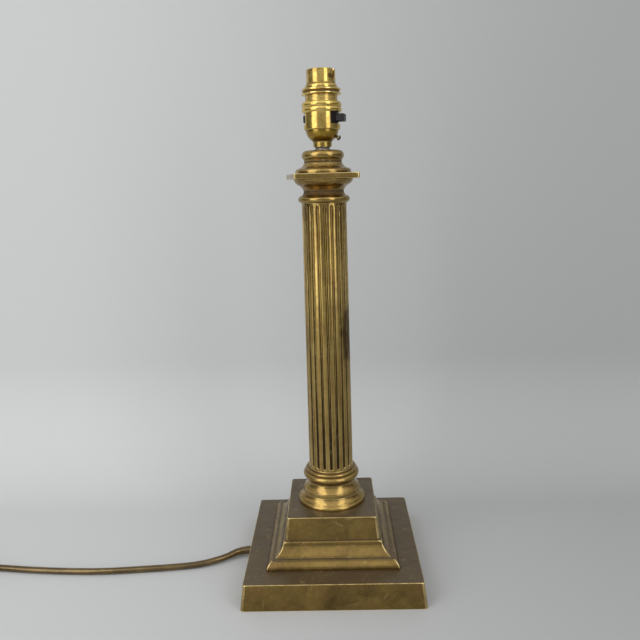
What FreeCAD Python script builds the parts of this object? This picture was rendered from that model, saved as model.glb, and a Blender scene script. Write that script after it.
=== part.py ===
"""Column table lamp: a stepped square base, a ribbed column, turned mouldings and a switched lampholder.

The frame is in millimetres, +Z up, with its origin at the centre of the underside. The lamp is seen from -Y,
its flex leaves the base at -X, and the switch bar points to +X. Azimuths run from the front (-Y) towards +X.
"""
import FreeCAD, Part
import math
import os
import Sketcher
from FreeCAD import Placement, Rotation, Vector

SIZES = [
    # the stepped base casting
    ("plinth_foot_width", 165.4, "plinth, side at the table"),
    ("plinth_taper", 2.7, "plinth, lean of each side"),
    ("plinth_height", 23.8, "plinth, height"),
    ("plinth_wall", 4.0, "plinth, wall and top thickness"),
    ("plinth_edge", 0.8, "plinth, radius of its worn edges"),
    ("moulding_foot_width", 120.6, "moulding, side where it stands on the plinth"),
    ("moulding_foot_height", 1.8, "moulding, upright edge at its foot"),
    ("ovolo_width", 5.7, "ovolo, set back of its top"),
    ("ovolo_height", 7.1, "ovolo, height"),
    ("ovolo_radius", 8.0, "ovolo, radius"),
    ("cove_step", 1.4, "ledge between ovolo and cove"),
    ("cove_height", 10.3, "cove, height"),
    ("cove_radius", 16.0, "cove, radius"),
    ("die_bead", 1.9, "bead at the foot of the die, height"),
    ("die_foot_width", 87.4, "die block, side at its foot"),
    ("die_top_width", 82.8, "die block, side at its top"),
    ("base_height", 66.5, "table to the top of the die block"),
    ("die_wall", 3.5, "die block, wall"),
    ("die_top", 4.5, "die block, thickness of its top"),
    ("board_inset", 5.0, "underside, width of the rim left round the board"),
    ("board_rise", 0.7, "underside, board above the table"),
    ("board_thickness", 1.2, "underside board, thickness"),
    ("baize_rise", 0.2, "baize, clear of the table"),
    # the central rod and what clamps it
    ("rod_diameter", 10.0, "hollow rod, outside its thread"),
    ("rod_slack", 1.6, "hollow rod, bore wider than the flex"),
    ("rod_foot", 48.0, "hollow rod, height of its lower end"),
    ("rod_head", 6.6, "hollow rod, reach above the cap"),
    ("rod_clearance", 0.15, "rod to the holes that it passes"),
    ("nut_flats", 17.0, "rod nut, across flats"),
    ("nut_height", 6.0, "rod nut, height"),
    ("washer_diameter", 34.0, "rod washer, diameter"),
    ("washer_thickness", 1.6, "rod washer, thickness"),
    # the column's foot, shaft and capital
    ("foot_height", 35.0, "column foot, height"),
    ("foot_flange", 32.4, "column foot, radius of its flange"),
    ("foot_neck", 22.2, "column foot, radius of its neck"),
    ("foot_ring", 26.9, "column foot, radius of its ring"),
    ("spigot_height", 4.0, "spigots inside the shaft, height"),
    ("spigot_clearance", 0.2, "spigots to the shaft's bore"),
    ("shaft_length", 248.5, "column shaft, length"),
    ("shaft_foot_radius", 21.05, "column shaft, radius at its foot"),
    ("shaft_head_radius", 20.0, "column shaft, radius at its head"),
    ("shaft_bore", 17.2, "column shaft, radius of its bore"),
    ("flute_count", 20, "grooves round the shaft"),
    ("flute_radius", 1.3, "groove, radius"),
    ("flute_depth", 1.45, "groove, depth below the ribs"),
    ("flute_margin", 1.9, "groove, plain band left at each end"),
    ("flute_turn", 1.5, "groove that faces the front, azimuth in degrees"),
    ("capital_height", 21.0, "capital, height"),
    ("astragal_radius", 23.85, "capital, radius of its lower ring"),
    ("necking_radius", 17.8, "capital, radius of its neck"),
    ("echinus_radius", 26.4, "capital, radius under the plate"),
    ("abacus_side", 57.0, "capital plate, side"),
    ("abacus_thickness", 4.8, "capital plate, thickness"),
    ("abacus_turn", 10.0, "capital plate, turn about the rod in degrees"),
    ("abacus_shift", -1.5, "capital plate, off centre by its loose hole"),
    ("abacus_slack", 2.25, "capital plate, its loose hole past the other rod holes"),
    ("cap_height", 19.5, "cap, height"),
    ("cap_foot", 24.8, "cap, radius on the plate"),
    ("cap_neck", 16.4, "cap, radius of its neck"),
    ("cap_rim", 18.5, "cap, radius of its rim"),
    ("cap_bore", 11.0, "cap, radius of the hollow below its top"),
    # the lampholder
    ("nipple_radius", 6.7, "nipple, radius"),
    ("nipple_show", 3.0, "nipple, length that shows"),
    ("nipple_length", 7.6, "nipple, length"),
    ("cup_neck_radius", 8.2, "cup, radius of its neck"),
    ("cup_neck_height", 4.5, "cup, height of its neck"),
    ("cup_height", 14.3, "cup, seam height above its neck's foot"),
    ("cup_rim_step", 0.45, "cup, rim inside the skirt's bore"),
    ("cup_bowl_radius", 11.0, "cup, radius of its bowl's curve"),
    ("cup_wall", 1.1, "cup, wall"),
    ("skirt_thread_wall", 0.55, "skirt, wall of its thread"),
    ("skirt_wall", 1.3, "skirt, wall"),
    ("skirt_height", 14.4, "skirt, height that shows"),
    ("skirt_floor", 0.9, "skirt, thickness of its inner lip"),
    ("skirt_thread", 5.6, "skirt, height of its thread under the union ring"),
    ("window_turn", 28.0, "skirt window, azimuth of its first edge in degrees"),
    ("window_angle", 90.0, "skirt window, angle in degrees"),
    ("window_sill", 4.4, "skirt window, height of its sill above the seam"),
    ("union_wall", 2.05, "union ring, wall"),
    ("union_height", 8.6, "union ring, height"),
    ("union_lip", 1.8, "union ring, thickness of its top lip"),
    ("barrel_radius", 12.5, "bulb barrel, radius"),
    ("barrel_bore", 11.35, "bulb barrel, radius of its bore"),
    ("barrel_wall", 1.0, "bulb barrel, wall of its threaded part"),
    ("barrel_flange", 1.2, "bulb barrel, thickness of its clamped flange"),
    ("flange_reach", 1.0, "bulb barrel, reach of its clamped flange past the thread"),
    ("flange_clearance", 0.2, "bulb barrel, its flange inside the skirt's thread"),
    ("barrel_height", 11.9, "bulb barrel, height of its narrow part"),
    ("thread_radius", 14.0, "bulb barrel, radius of its threaded part"),
    ("thread_height", 14.2, "bulb barrel, height of its threaded part"),
    ("shoulder_height", 2.6, "bulb barrel, height of its rounded shoulder"),
    ("slot_width", 2.6, "bayonet slot, width"),
    ("slot_turn", 62.0, "bayonet slot, azimuth in degrees"),
    ("slot_hook", 24.0, "bayonet slot, turn of its hook in degrees"),
    ("slot_depth", 8.2, "bayonet slot, depth below the rim"),
    ("pocket_radius", 2.0, "bayonet slot, radius of the pocket at its end"),
    ("shade_ring_reach", 3.19, "shade ring, its rim past its bore"),
    ("shade_ring_height", 5.4, "shade ring, height"),
    ("shade_ring_rise", 5.8, "shade ring, height above the union ring"),
    ("ring_clearance", 0.06, "shade ring, running clearance"),
    # the switch block and its moving parts
    ("block_clearance", 0.15, "switch block to the skirt"),
    ("block_head_clearance", 0.3, "switch block to the barrel"),
    ("block_gap", 0.2, "switch block, clear of the barrel's flange"),
    ("block_head_height", 10.0, "switch block, height of its narrow part"),
    ("bar_azimuth", 73.0, "switch bar, azimuth in degrees"),
    ("bar_length", 36.8, "switch bar, length"),
    ("bar_reach", 20.9, "switch bar, reach of its right end from the axis"),
    ("bar_width", 9.0, "switch bar, width"),
    ("bar_height", 6.6, "switch bar, height"),
    ("bar_rise", 6.2, "switch bar, underside above the seam"),
    ("bar_clearance", 0.1, "switch bar, sliding clearance"),
    ("plunger_radius", 2.2, "plunger, radius"),
    ("plunger_length", 13.5, "plunger, length"),
    ("plunger_dome", 1.6, "plunger, height of its domed end"),
    ("plunger_show", 7.0, "plunger, reach above the block at rest"),
    ("plunger_spread", 5.9, "plunger, distance from the axis"),
    ("plunger_azimuth", 128.0, "plunger, azimuth in degrees"),
    ("plunger_clearance", 0.1, "plunger, sliding clearance"),
    ("bore_depth", 14.1, "plunger bore, depth"),
    ("spring_radius", 1.5, "plunger spring, radius to the wire's centre"),
    ("spring_wire", 0.5, "plunger spring, wire diameter"),
    ("spring_turns", 5, "plunger spring, turns"),
    ("post_radius", 2.5, "terminal post, radius"),
    ("post_height", 4.0, "terminal post, height"),
    ("post_spread", 6.6, "terminal post, distance from the axis"),
    ("screw_radius", 1.4, "cup screw, radius of its shank"),
    ("screw_head_radius", 2.4, "cup screw, radius of its head"),
    ("screw_head_height", 2.2, "cup screw, height of its head"),
    ("screw_azimuth", 82.0, "cup screw, azimuth in degrees"),
    ("screw_tilt", 33.0, "cup screw, tilt below the level in degrees"),
    ("screw_inset", 1.8, "cup screw, its entry inside the cup's rim"),
    ("screw_rise", 8.6, "cup screw, height above the neck's foot"),
    ("screw_stand", 1.9, "cup screw, head clear of the bowl"),
    ("screw_length", 4.6, "cup screw, length below its head"),
    # the flex, its bush and the plug
    ("flex_diameter", 6.2, "flex, diameter"),
    ("flex_clearance", 0.1, "flex, clear of the table and of its bush"),
    ("bush_clearance", 0.1, "flex bush, clear of the underside board"),
    ("exit_offset", 7.5, "flex, distance behind the base's middle line"),
    ("bush_rim", 0.6, "flex bush, reach of its flange past its body"),
    ("bush_wall", 0.8, "flex bush, wall"),
    ("bush_flange", 1.4, "flex bush, thickness of its flange"),
    ("bush_proud", 0.15, "flex bush, reach past the foot of the wall"),
    ("core_diameter", 2.0, "flex core, diameter over its sleeve"),
    ("coil_radius", 46.0, "put-away coil, radius of its outer turn"),
    ("coil_gap", 0.8, "put-away coil, gap between turns"),
    ("coil_layer_gap", 0.7, "put-away coil, gap between layers"),
    ("coil_turns", 3, "put-away coil, turns in its lower layer"),
    ("clamp_inset", 5.5, "plug, cord clamp from the entry face"),
    ("clamp_width", 5.0, "plug cord clamp, width"),
    ("clamp_length", 16.0, "plug cord clamp, length"),
    ("clamp_thickness", 2.4, "plug cord clamp, thickness"),
    ("flex_in_plug", 13.0, "flex, length inside the plug"),
    ("plug_width", 46.0, "plug, width"),
    ("plug_length", 50.0, "plug, length"),
    ("plug_cover_height", 10.1, "plug cover, height"),
    ("plug_base_height", 9.4, "plug base, height"),
    ("plug_wall", 2.4, "plug, wall"),
    ("plug_corner", 8.0, "plug, radius of its corners"),
    ("pin_inset", 16.0, "plug, line pins from the entry face"),
    ("pin_pitch", 11.1, "plug, half the distance between the line pins"),
    ("pin_width", 6.35, "plug, width of the line pins"),
    ("pin_thickness", 4.0, "plug, thickness of all pins"),
    ("earth_width", 7.9, "plug, width of the earth pin"),
    ("earth_pitch", 22.2, "plug, earth pin from the line of the other two"),
    ("fuse_radius", 3.15, "plug fuse, radius"),
    ("fuse_length", 25.4, "plug fuse, length"),
    ("plug_screw_radius", 1.5, "plug screws, radius"),
    ("plug_screw_head", 3.0, "plug screws, radius of the head"),
    ("pin_length", 17.7, "plug, reach of the line pins"),
    ("earth_length", 22.7, "plug, reach of the earth pin"),
    ("fit_gap", 0.05, "clearance between fitted round faces"),
]

# The flex's route along the table, hand picked, from the bush to the put-away coil.
FLEX_ROUTE = [
    (-98.0, 7.5, 6.0), (-113.0, 2.2, 5.2), (-134.0, -6.4, 3.8), (-160.0, -13.6, 3.2), (-190.0, -19.6, 3.2),
    (-226.0, -22.2, 3.2), (-264.0, -20.6, 3.2), (-300.0, -17.2, 3.2), (-332.0, -12.4, 3.2),
    (-362.0, -10.0, 3.2),
]
# The flex's route inside the base, from the bush to the foot of the hollow rod.
INNER_ROUTE = [(-57.0, 7.5, 6.0), (-31.0, 4.0, 6.0), (-11.3, 1.4, 17.3), (0.0, 0.0, 36.7)]
COIL_ENTRY = (-390.0, -10.0)
TAIL_ROUTE = [(-413.0, -10.0, 10.1), (-434.0, -13.0, 10.1)]
PLUG_ENTRY = (-450.0, -13.0)

doc = FreeCAD.newDocument("column_table_lamp")
NODES = []


class Size:
    """A size of the sheet, or a sum, product or share of such sizes: its value and its expression."""

    def __init__(self, value, text):
        self.value = value
        self.text = text

    def _join(self, other, sign, value):
        text = other.text if isinstance(other, Size) else repr(other)
        return Size(value, f"({self.text} {sign} {text})")

    def __add__(self, other):
        return self._join(other, "+", self.value + plain(other))

    def __sub__(self, other):
        return self._join(other, "-", self.value - plain(other))

    def __mul__(self, other):
        return self._join(other, "*", self.value * plain(other))

    def __truediv__(self, other):
        return self._join(other, "/", self.value / plain(other))

    def __rsub__(self, other):
        return -self + other

    def __neg__(self):
        return self * -1


def plain(number):
    """The plain value of a Size or a number."""
    return number.value if isinstance(number, Size) else number


class Sheet:
    """The spreadsheet of driving dimensions, whose cells are read by name as Sizes."""

    def __init__(self, document, rows):
        self.cells = {}
        sheet = document.addObject("Spreadsheet::Sheet", "Sizes")
        for line, (alias, value, note) in enumerate(rows, 1):
            sheet.set(f"A{line}", note)
            sheet.set(f"B{line}", str(value))
            sheet.setAlias(f"B{line}", alias)
            self.cells[alias] = Size(float(value), f"Sizes.{alias}")

    def __getattr__(self, alias):
        return self.cells[alias]


def bind(thing, path, size):
    """Binds a property of an object to a size."""
    if isinstance(size, Size):
        thing.setExpression(path, size.text)


def place(thing, x=0.0, y=0.0, z=0.0, turn=0.0, axis=Vector(0, 0, 1)):
    """Places an object and binds its place and its turn about an axis."""
    thing.Placement = Placement(Vector(plain(x), plain(y), plain(z)), Rotation(axis, plain(turn)))
    for path, size in (("x", x), ("y", y), ("z", z)):
        bind(thing, f"Placement.Base.{path}", size)
    bind(thing, "Placement.Rotation.Angle", turn)
    return thing


def new(kind, label, **sizes):
    """A Part primitive with its sizes bound."""
    thing = doc.addObject(kind, label)
    for name, size in sizes.items():
        setattr(thing, name, plain(size))
        bind(thing, name, size)
    return thing


def joined(kind, label, base, tool):
    """A Part boolean of two objects."""
    thing = doc.addObject(kind, label)
    thing.Base = base
    thing.Tool = tool
    return thing


def fused(label, pieces):
    """A Part fusion of several objects."""
    thing = doc.addObject("Part::MultiFuse", label)
    thing.Shapes = pieces
    return thing


def grouped(label, pieces):
    """Separate solids that share one node."""
    thing = doc.addObject("Part::Compound", label)
    thing.Links = pieces
    return thing


def node(thing, label):
    """Names an object as a sub-part of the lamp."""
    thing.Label = label
    NODES.append(thing)
    return thing


def arc_through(start, end, radius):
    """An arc between two points, and whether it starts at the first. A positive radius curves to the left."""
    (x0, y0), (x1, y1) = start, end
    chord = math.hypot(x1 - x0, y1 - y0)
    rise = math.sqrt(max(radius * radius - chord * chord / 4, 0.0))
    side = 1 if radius > 0 else -1
    cx = (x0 + x1) / 2 - side * rise * (y1 - y0) / chord
    cy = (y0 + y1) / 2 + side * rise * (x1 - x0) / chord
    first = math.atan2(y0 - cy, x0 - cx)
    last = math.atan2(y1 - cy, x1 - cx)
    if side < 0:
        first, last = last, first
    circle = Part.Circle(Vector(cx, cy, 0), Vector(0, 0, 1), abs(radius))
    return Part.ArcOfCircle(circle, first, last if last > first else last + 2 * math.pi), side > 0


def pin_to(sketch, edge, end, index, size):
    """Fixes one coordinate of an edge's end, on the axis where it is nought, and binds it."""
    if not isinstance(size, Size) and size == 0:
        sketch.addConstraint(Sketcher.Constraint("PointOnObject", edge, end, -2 if index == 0 else -1))
        return
    kind = "DistanceX" if index == 0 else "DistanceY"
    number = sketch.addConstraint(Sketcher.Constraint(kind, edge, end, plain(size)))
    bind(sketch, f"Constraints[{number}]", size)


def outline(sketch, corners):
    """Draws a closed outline of corners (x, y), or (x, y, radius) where an arc leads to the next corner."""
    points = [(plain(corner[0]), plain(corner[1])) for corner in corners]
    edges = []
    for index, corner in enumerate(corners):
        start, end = points[index], points[(index + 1) % len(points)]
        if len(corner) == 3:
            arc, forward = arc_through(start, end, plain(corner[2]))
            edges.append((sketch.addGeometry(arc), 1 if forward else 2, 2 if forward else 1))
        else:
            line = Part.LineSegment(Vector(*start, 0), Vector(*end, 0))
            edges.append((sketch.addGeometry(line), 1, 2))
    for index, corner in enumerate(corners):
        edge, first, _ = edges[index]
        before, _, last = edges[index - 1]
        sketch.addConstraint(Sketcher.Constraint("Coincident", before, last, edge, first))
        pin_to(sketch, edge, first, 0, corner[0])
        pin_to(sketch, edge, first, 1, corner[1])
        if len(corner) == 3:
            number = sketch.addConstraint(Sketcher.Constraint("Radius", edge, abs(plain(corner[2]))))
            if isinstance(corner[2], Size):
                size = corner[2] if corner[2].value > 0 else -corner[2]
                bind(sketch, f"Constraints[{number}]", size)


def new_body(name):
    return doc.addObject("PartDesign::Body", name)


def sketch_on(body, plane, corners=()):
    """A sketch on one of the body's own origin planes, with its outline drawn."""
    sketch = body.newObject("Sketcher::SketchObject", f"{body.Name}_{plane}")
    support = next(feature for feature in body.Origin.OriginFeatures if feature.Role == plane)
    sketch.AttachmentSupport = [(support, "")]
    sketch.MapMode = "FlatFace"
    if corners:
        outline(sketch, corners)
    return sketch


def revolved(body, corners):
    """Turns an outline of radii and heights about the body's upright axis."""
    turn = body.newObject("PartDesign::Revolution", f"{body.Name}_turned")
    turn.Profile = sketch_on(body, "XZ_Plane", corners)
    turn.ReferenceAxis = (turn.Profile[0], ["V_Axis"])
    turn.Angle = 360
    return turn


def turned(name, seat, corners):
    """A turned piece standing at the height of its seat."""
    body = new_body(name)
    revolved(body, corners)
    return place(body, z=seat)


def padded(body, plane, corners, length, symmetric=False):
    """A pad of an outline."""
    pad = body.newObject("PartDesign::Pad", f"{body.Name}_{plane}_pad")
    pad.Profile = sketch_on(body, plane, corners)
    pad.Length = plain(length)
    bind(pad, "Length", length)
    if symmetric:
        pad.SideType = "Symmetric"
    return pad


def mirrored(corners):
    """A right-hand outline from foot to head, closed by its mirror image on the left."""
    left = []
    for index in range(len(corners) - 1, -1, -1):
        x, y = corners[index][:2]
        lead = corners[index - 1] if index else ()
        left.append((-x, y, lead[2]) if len(lead) == 3 else (-x, y))
    return [tuple(corner) for corner in corners] + left


def mitred(name, corners, length):
    """A square piece with one moulded outline on its four sides, mitred where they meet."""
    sides = []
    for plane in ("XZ_Plane", "YZ_Plane"):
        body = new_body(f"{name}_{plane[:2]}")
        padded(body, plane, mirrored(corners), length, symmetric=True)
        sides.append(body)
    return joined("Part::Common", f"{name}_block", *sides)


def centred_square(side, height, low, name):
    """A square block about the axis."""
    block = new("Part::Box", name, Length=side, Width=side, Height=height)
    return place(block, -side / 2, -side / 2, low)


def drum(name, radius, height, low, **where):
    """An upright cylinder, or one turned and moved as asked."""
    return place(new("Part::Cylinder", name, Radius=radius, Height=height), z=low, **where)


def crown(radius, rise):
    """The radius of a round crown that stands a rise above the edge of a round end."""
    return (radius * radius / rise + rise) / 2


def around(axis_turn, radius):
    """The place at an azimuth and a distance from the axis."""
    angle = math.radians(plain(axis_turn) - 90)
    return Vector(plain(radius) * math.cos(angle), plain(radius) * math.sin(angle), 0)


def rounded_path(points, name=""):
    """Straight runs joined by arcs as large as each pair of runs allows."""
    points = [Vector(*point) for point in points]
    edges, start, radii = [], points[0], []
    for before, point, after in zip(points, points[1:], points[2:]):
        inward, outward = (point - before), (after - point)
        reach = 0.45 * min(inward.Length, outward.Length)
        half_turn = inward.getAngle(outward) / 2
        radii.append(reach / math.tan(half_turn))
        first = point - inward.normalize() * reach
        last = point + outward.normalize() * reach
        chord = (first + last) / 2
        middle = chord + (point - chord) * (math.tan(half_turn / 2) / math.tan(half_turn))
        edges.append(Part.LineSegment(start, first).toShape())
        edges.append(Part.Arc(first, middle, last).toShape())
        start = last
    edges.append(Part.LineSegment(start, points[-1]).toShape())
    if name:
        print(name, "bend radii, mm:", " ".join(f"{radius:.0f}" for radius in radii))
    return Part.Wire(edges)


def swept(path, diameter):
    """A round tube along a path, checked against its section times its length."""
    start = path.Edges[0]
    heading = start.tangentAt(start.FirstParameter)
    ring = Part.Wire(Part.Circle(start.valueAt(start.FirstParameter), heading, plain(diameter) / 2).toShape())
    tube = path.makePipeShell([ring], True, False)
    expected = math.pi * plain(diameter) ** 2 / 4 * path.Length
    if abs(tube.Volume / expected - 1) > 0.01:
        raise ValueError(f"tube volume {tube.Volume:.0f}, expected {expected:.0f}")
    return tube


def shaped(label, shape):
    """A piece whose form only the shape functions can make."""
    thing = doc.addObject("Part::Feature", label)
    thing.Shape = shape
    return thing


S = Sheet(doc, SIZES)
doc.recompute()
rod_hole = S.rod_diameter / 2 + S.rod_clearance
foot_seat = S.base_height
shaft_seat = foot_seat + S.foot_height
capital_seat = shaft_seat + S.shaft_length
abacus_seat = capital_seat + S.capital_height
cap_seat = abacus_seat + S.abacus_thickness
nipple_seat = cap_seat + S.cap_height
cup_seat = nipple_seat + S.nipple_show
seam = cup_seat + S.cup_height
union_seat = seam + S.skirt_height
barrel_seat = union_seat + S.skirt_thread
union_top = union_seat + S.union_height
ring_seat = union_top + S.shade_ring_rise
barrel_top = barrel_seat + S.barrel_flange + S.thread_height + S.shoulder_height + S.barrel_height
block_seat = seam + S.skirt_floor
block_waist = barrel_seat - S.block_gap
block_top = block_waist + S.block_head_height
die_ceiling = S.base_height - S.die_top
board_side = S.plinth_foot_width - S.board_inset * 2
board_top = S.board_rise + S.board_thickness
plinth_top_width = S.plinth_foot_width - S.plinth_taper * 2
spigot_radius = S.shaft_bore - S.spigot_clearance
barrel_flange_radius = S.thread_radius + S.flange_reach
skirt_thread_radius = barrel_flange_radius + S.flange_clearance
skirt_bore = skirt_thread_radius - S.skirt_thread_wall
skirt_radius = skirt_bore + S.skirt_wall
cup_rim_radius = skirt_bore - S.cup_rim_step
union_bore = skirt_thread_radius + S.fit_gap * 2
shade_ring_bore = S.thread_radius + S.ring_clearance
block_radius = skirt_bore - S.block_clearance
block_head_radius = S.thread_radius - S.barrel_wall - S.block_head_clearance
bush_bore = S.flex_diameter / 2 + S.flex_clearance
bush_body = bush_bore + S.bush_wall
bush_radius = bush_body + S.bush_rim
exit_height = board_top + bush_body + S.bush_clearance
flex_lift = S.flex_diameter / 2 + S.flex_clearance
flex_exit = S.plinth_foot_width / 2 + S.bush_proud
bush_seat = flex_exit - S.bush_flange


# The square base
def stepped_base():
    """The hollow casting: plinth, mitred moulding and die block, with the flex hole in its left wall."""
    edge = S.plinth_edge
    plinth, top = S.plinth_foot_width / 2, plinth_top_width / 2
    foot = S.moulding_foot_width / 2
    ovolo_top = S.plinth_height + S.moulding_foot_height + S.ovolo_height
    cove_foot = foot - S.ovolo_width - S.cove_step
    cove_top = ovolo_top + S.cove_height
    die, die_head = S.die_foot_width / 2, S.die_top_width / 2
    block = mitred("base", [
        (plinth, 0), (top, S.plinth_height - edge, edge), (top - edge, S.plinth_height),
        (foot, S.plinth_height), (foot, S.plinth_height + S.moulding_foot_height, S.ovolo_radius),
        (foot - S.ovolo_width, ovolo_top), (cove_foot, ovolo_top, -S.cove_radius),
        (die + S.die_bead, cove_top, S.die_bead), (die, cove_top + S.die_bead),
        (die_head, S.base_height - edge, edge), (die_head - edge, S.base_height),
    ], S.plinth_foot_width)
    plinth_room = plinth_top_width - S.plinth_wall * 2
    moulding_room = S.moulding_foot_width - S.ovolo_width * 2 - S.die_wall * 2
    die_room = S.die_top_width - S.die_wall * 2
    moulding_ceiling = S.plinth_height + S.moulding_foot_height + S.ovolo_height - S.die_wall
    below = -1
    rooms = [
        centred_square(board_side, board_top - below, below, "board_rebate"),
        centred_square(plinth_room, S.plinth_height - S.plinth_wall - below, below, "plinth_room"),
        centred_square(moulding_room, moulding_ceiling - below, below, "moulding_room"),
        centred_square(die_room, die_ceiling - below, below, "die_room"),
        drum("base_rod_hole", rod_hole, S.base_height, die_ceiling - 1),
        flex_hole("bush_hole", bush_body + S.fit_gap, bush_seat - S.plinth_wall * 2),
        flex_hole("bush_spot_face", bush_radius + S.fit_gap * 4, bush_seat),
    ]
    return node(joined("Part::Cut", "hollow_base", block, fused("base_rooms", rooms)), "stepped_base")


def flex_hole(name, radius, inside):
    """A level hole towards the left, from a distance inside outwards."""
    hole = new("Part::Cylinder", name, Radius=radius, Height=S.plinth_wall * 4)
    return place(hole, -inside, S.exit_offset, exit_height, -90.0, Vector(0, 1, 0))


def underside():
    """The board that closes the base and the baize below it."""
    slip = S.fit_gap * 4
    side = board_side - slip
    node(centred_square(side, S.board_thickness, S.board_rise, "board"), "base_board")
    node(centred_square(side, S.board_rise - S.baize_rise, S.baize_rise, "baize"), "baize_sheet")


def cord_bush():
    """The flanged bush that lines the flex hole."""
    length = S.plinth_wall + S.bush_flange
    bore, body, radius, flange = bush_bore, bush_body, bush_radius, S.bush_flange
    bush = turned("bush", exit_height, [
        (bore, -length), (body, -length), (body, 0), (radius, 0), (radius, flange / 2, flange / 2),
        (radius - flange / 2, flange), (bore, flange),
    ])
    return node(place(bush, -bush_seat, S.exit_offset, exit_height, -90.0, Vector(0, 1, 0)), "cord_bush")


# The rod and its fasteners
def tie_rod():
    length = nipple_seat + S.rod_head - S.rod_foot
    outside = drum("rod_outside", S.rod_diameter / 2, length, S.rod_foot)
    bore = drum("rod_inside", (S.flex_diameter + S.rod_slack) / 2, length + 2, S.rod_foot - 1)
    return node(joined("Part::Cut", "rod", outside, bore), "tie_rod")


def rod_fasteners():
    """The washer and the nut that pull the stack together from inside the die block."""
    washer_seat = die_ceiling - S.washer_thickness
    plate = drum("washer_plate", S.washer_diameter / 2, S.washer_thickness, washer_seat)
    hole = drum("washer_hole", rod_hole, S.washer_thickness + 2, washer_seat - 1)
    node(joined("Part::Cut", "washer", plate, hole), "rod_washer")
    nut_seat = washer_seat - S.nut_height
    across_corners = S.nut_flats / math.sqrt(3)
    hexagon = new("Part::Prism", "nut_hexagon", Circumradius=across_corners, Height=S.nut_height)
    hexagon.Polygon = 6
    thread = drum("nut_thread", S.rod_diameter / 2 + S.fit_gap, S.nut_height + 2, nut_seat - 1)
    node(joined("Part::Cut", "nut", place(hexagon, z=nut_seat), thread), "rod_nut")


# The column
def column_foot():
    """The turned foot: a flange that flares in to a band, a cove, a ring and a bead under the shaft."""
    height, flange, neck, ring = S.foot_height, S.foot_flange, S.foot_neck, S.foot_ring
    spigot, collar = spigot_radius, S.shaft_foot_radius + 0.5
    hollow = spigot + 0.8
    top, ceiling = height + S.spigot_height, height - S.spigot_height
    return node(turned("column_foot", foot_seat, [
        (hollow, 0), (flange, 0), (flange, 1.6, 3.6), (flange - 1.5, 4.6), (flange - 1.9, 5.6, -9.0),
        (flange - 4.8, 10.7), (flange - 5.6, 10.9), (flange - 5.9, 13.8), (flange - 6.6, 14.2, -14.0),
        (neck, height - 12.6), (neck + 1.6, height - 11.0, 3.25), (ring - 2.4, height - 4.7),
        (ring - 3.0, height - 4.6, 1.7), (ring - 3.8, height - 1.7), (collar, height - 1.6), (collar, height),
        (spigot, height), (spigot, top), (rod_hole, top), (rod_hole, ceiling), (hollow, ceiling),
    ]), "column_foot")


def reeded_column():
    """The tapered tube, with round-ended grooves that leave flat ribs between them."""
    length, foot, head = S.shaft_length, S.shaft_foot_radius, S.shaft_head_radius
    radius, margin = S.flute_radius, S.flute_margin
    body = new_body("shaft")
    revolved(body, [(S.shaft_bore, 0), (foot, 0), (head, length), (S.shaft_bore, length)])
    low, high = foot - S.flute_depth + radius, head - S.flute_depth + radius
    sketch = sketch_on(body, "XZ_Plane", [
        (low, margin, radius), (low + radius, margin + radius),
        (high + radius, length - margin - radius, radius), (high, length - margin),
    ])
    start, end = (Vector(plain(low), plain(margin), 0), Vector(plain(high), plain(length - margin), 0))
    sketch.addGeometry(Part.LineSegment(start, end), True)
    sketch.addConstraint(Sketcher.Constraint("Coincident", 4, 1, 0, 1))
    sketch.addConstraint(Sketcher.Constraint("Coincident", 4, 2, 3, 1))
    groove = body.newObject("PartDesign::Groove", "flute")
    groove.Profile = sketch
    groove.ReferenceAxis = (sketch, ["Axis0"])
    groove.Angle = 360
    pattern = body.newObject("PartDesign::PolarPattern", "flutes")
    pattern.Originals = [groove]
    pattern.Axis = (next(line for line in body.Origin.OriginFeatures if line.Role == "Z_Axis"), [""])
    pattern.Angle = 360
    pattern.Occurrences = int(S.flute_count.value)
    bind(pattern, "Occurrences", S.flute_count)
    body.Tip = pattern
    return node(place(body, z=shaft_seat, turn=S.flute_turn), "reeded_column")


def capital():
    """The turned capital: a ring, a neck and a cup that flares to a lip under the plate."""
    height, neck, lip = S.capital_height, S.necking_radius, S.echinus_radius
    ring = S.astragal_radius
    hollow = neck - 4
    return node(turned("capital", capital_seat, [
        (rod_hole, -S.spigot_height), (spigot_radius, -S.spigot_height), (spigot_radius, 0),
        (ring - 2.9, 0), (ring - 2.9, 0.7, 2.95), (ring - 2.5, 6.2), (neck + 2.4, 6.8, -3.9), (neck, 10.4),
        (neck + 0.4, height - 9.4, -10.0), (lip - 4.4, height - 5.4, 8.0), (lip, height - 0.6),
        (lip - 0.2, height), (hollow, height), (hollow, 3), (rod_hole, 3),
    ]), "capital")


def abacus_plate():
    """The loose square plate, a little turned and off centre on the rod."""
    side = S.abacus_side
    slab = centred_square(side, S.abacus_thickness, 0, "slab")
    hole = drum("slab_hole", rod_hole + S.abacus_slack, S.abacus_thickness + 2, -1)
    plate = joined("Part::Cut", "plate", slab, hole)
    return node(place(plate, S.abacus_shift, 0, abacus_seat, S.abacus_turn), "abacus_plate")


def top_cap():
    """The turned cap on the plate: a foot that sweeps in to a neck under a round rim."""
    height, foot, neck, rim = S.cap_height, S.cap_foot, S.cap_neck, S.cap_rim
    return node(turned("cap", cap_seat, [
        (S.cap_bore, 0), (foot, 0), (foot, 1.6, 2.6), (foot - 1.6, 4.0, -8.0), (neck + 0.6, 8.6), (neck, 9.6),
        (neck + 0.6, height - 7.7, 4.6), (rim - 2.1, height - 0.3), (rim - 2.7, height), (rod_hole, height),
        (rod_hole, height - S.die_top), (S.cap_bore, height - S.die_top),
    ]), "top_cap")


# The lampholder
def holder_nipple():
    bore = S.rod_diameter / 2 + S.fit_gap
    return node(turned("nipple", nipple_seat, [
        (bore, 0), (S.nipple_radius, 0), (S.nipple_radius, S.nipple_length), (bore, S.nipple_length),
    ]), "holder_nipple")


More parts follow.
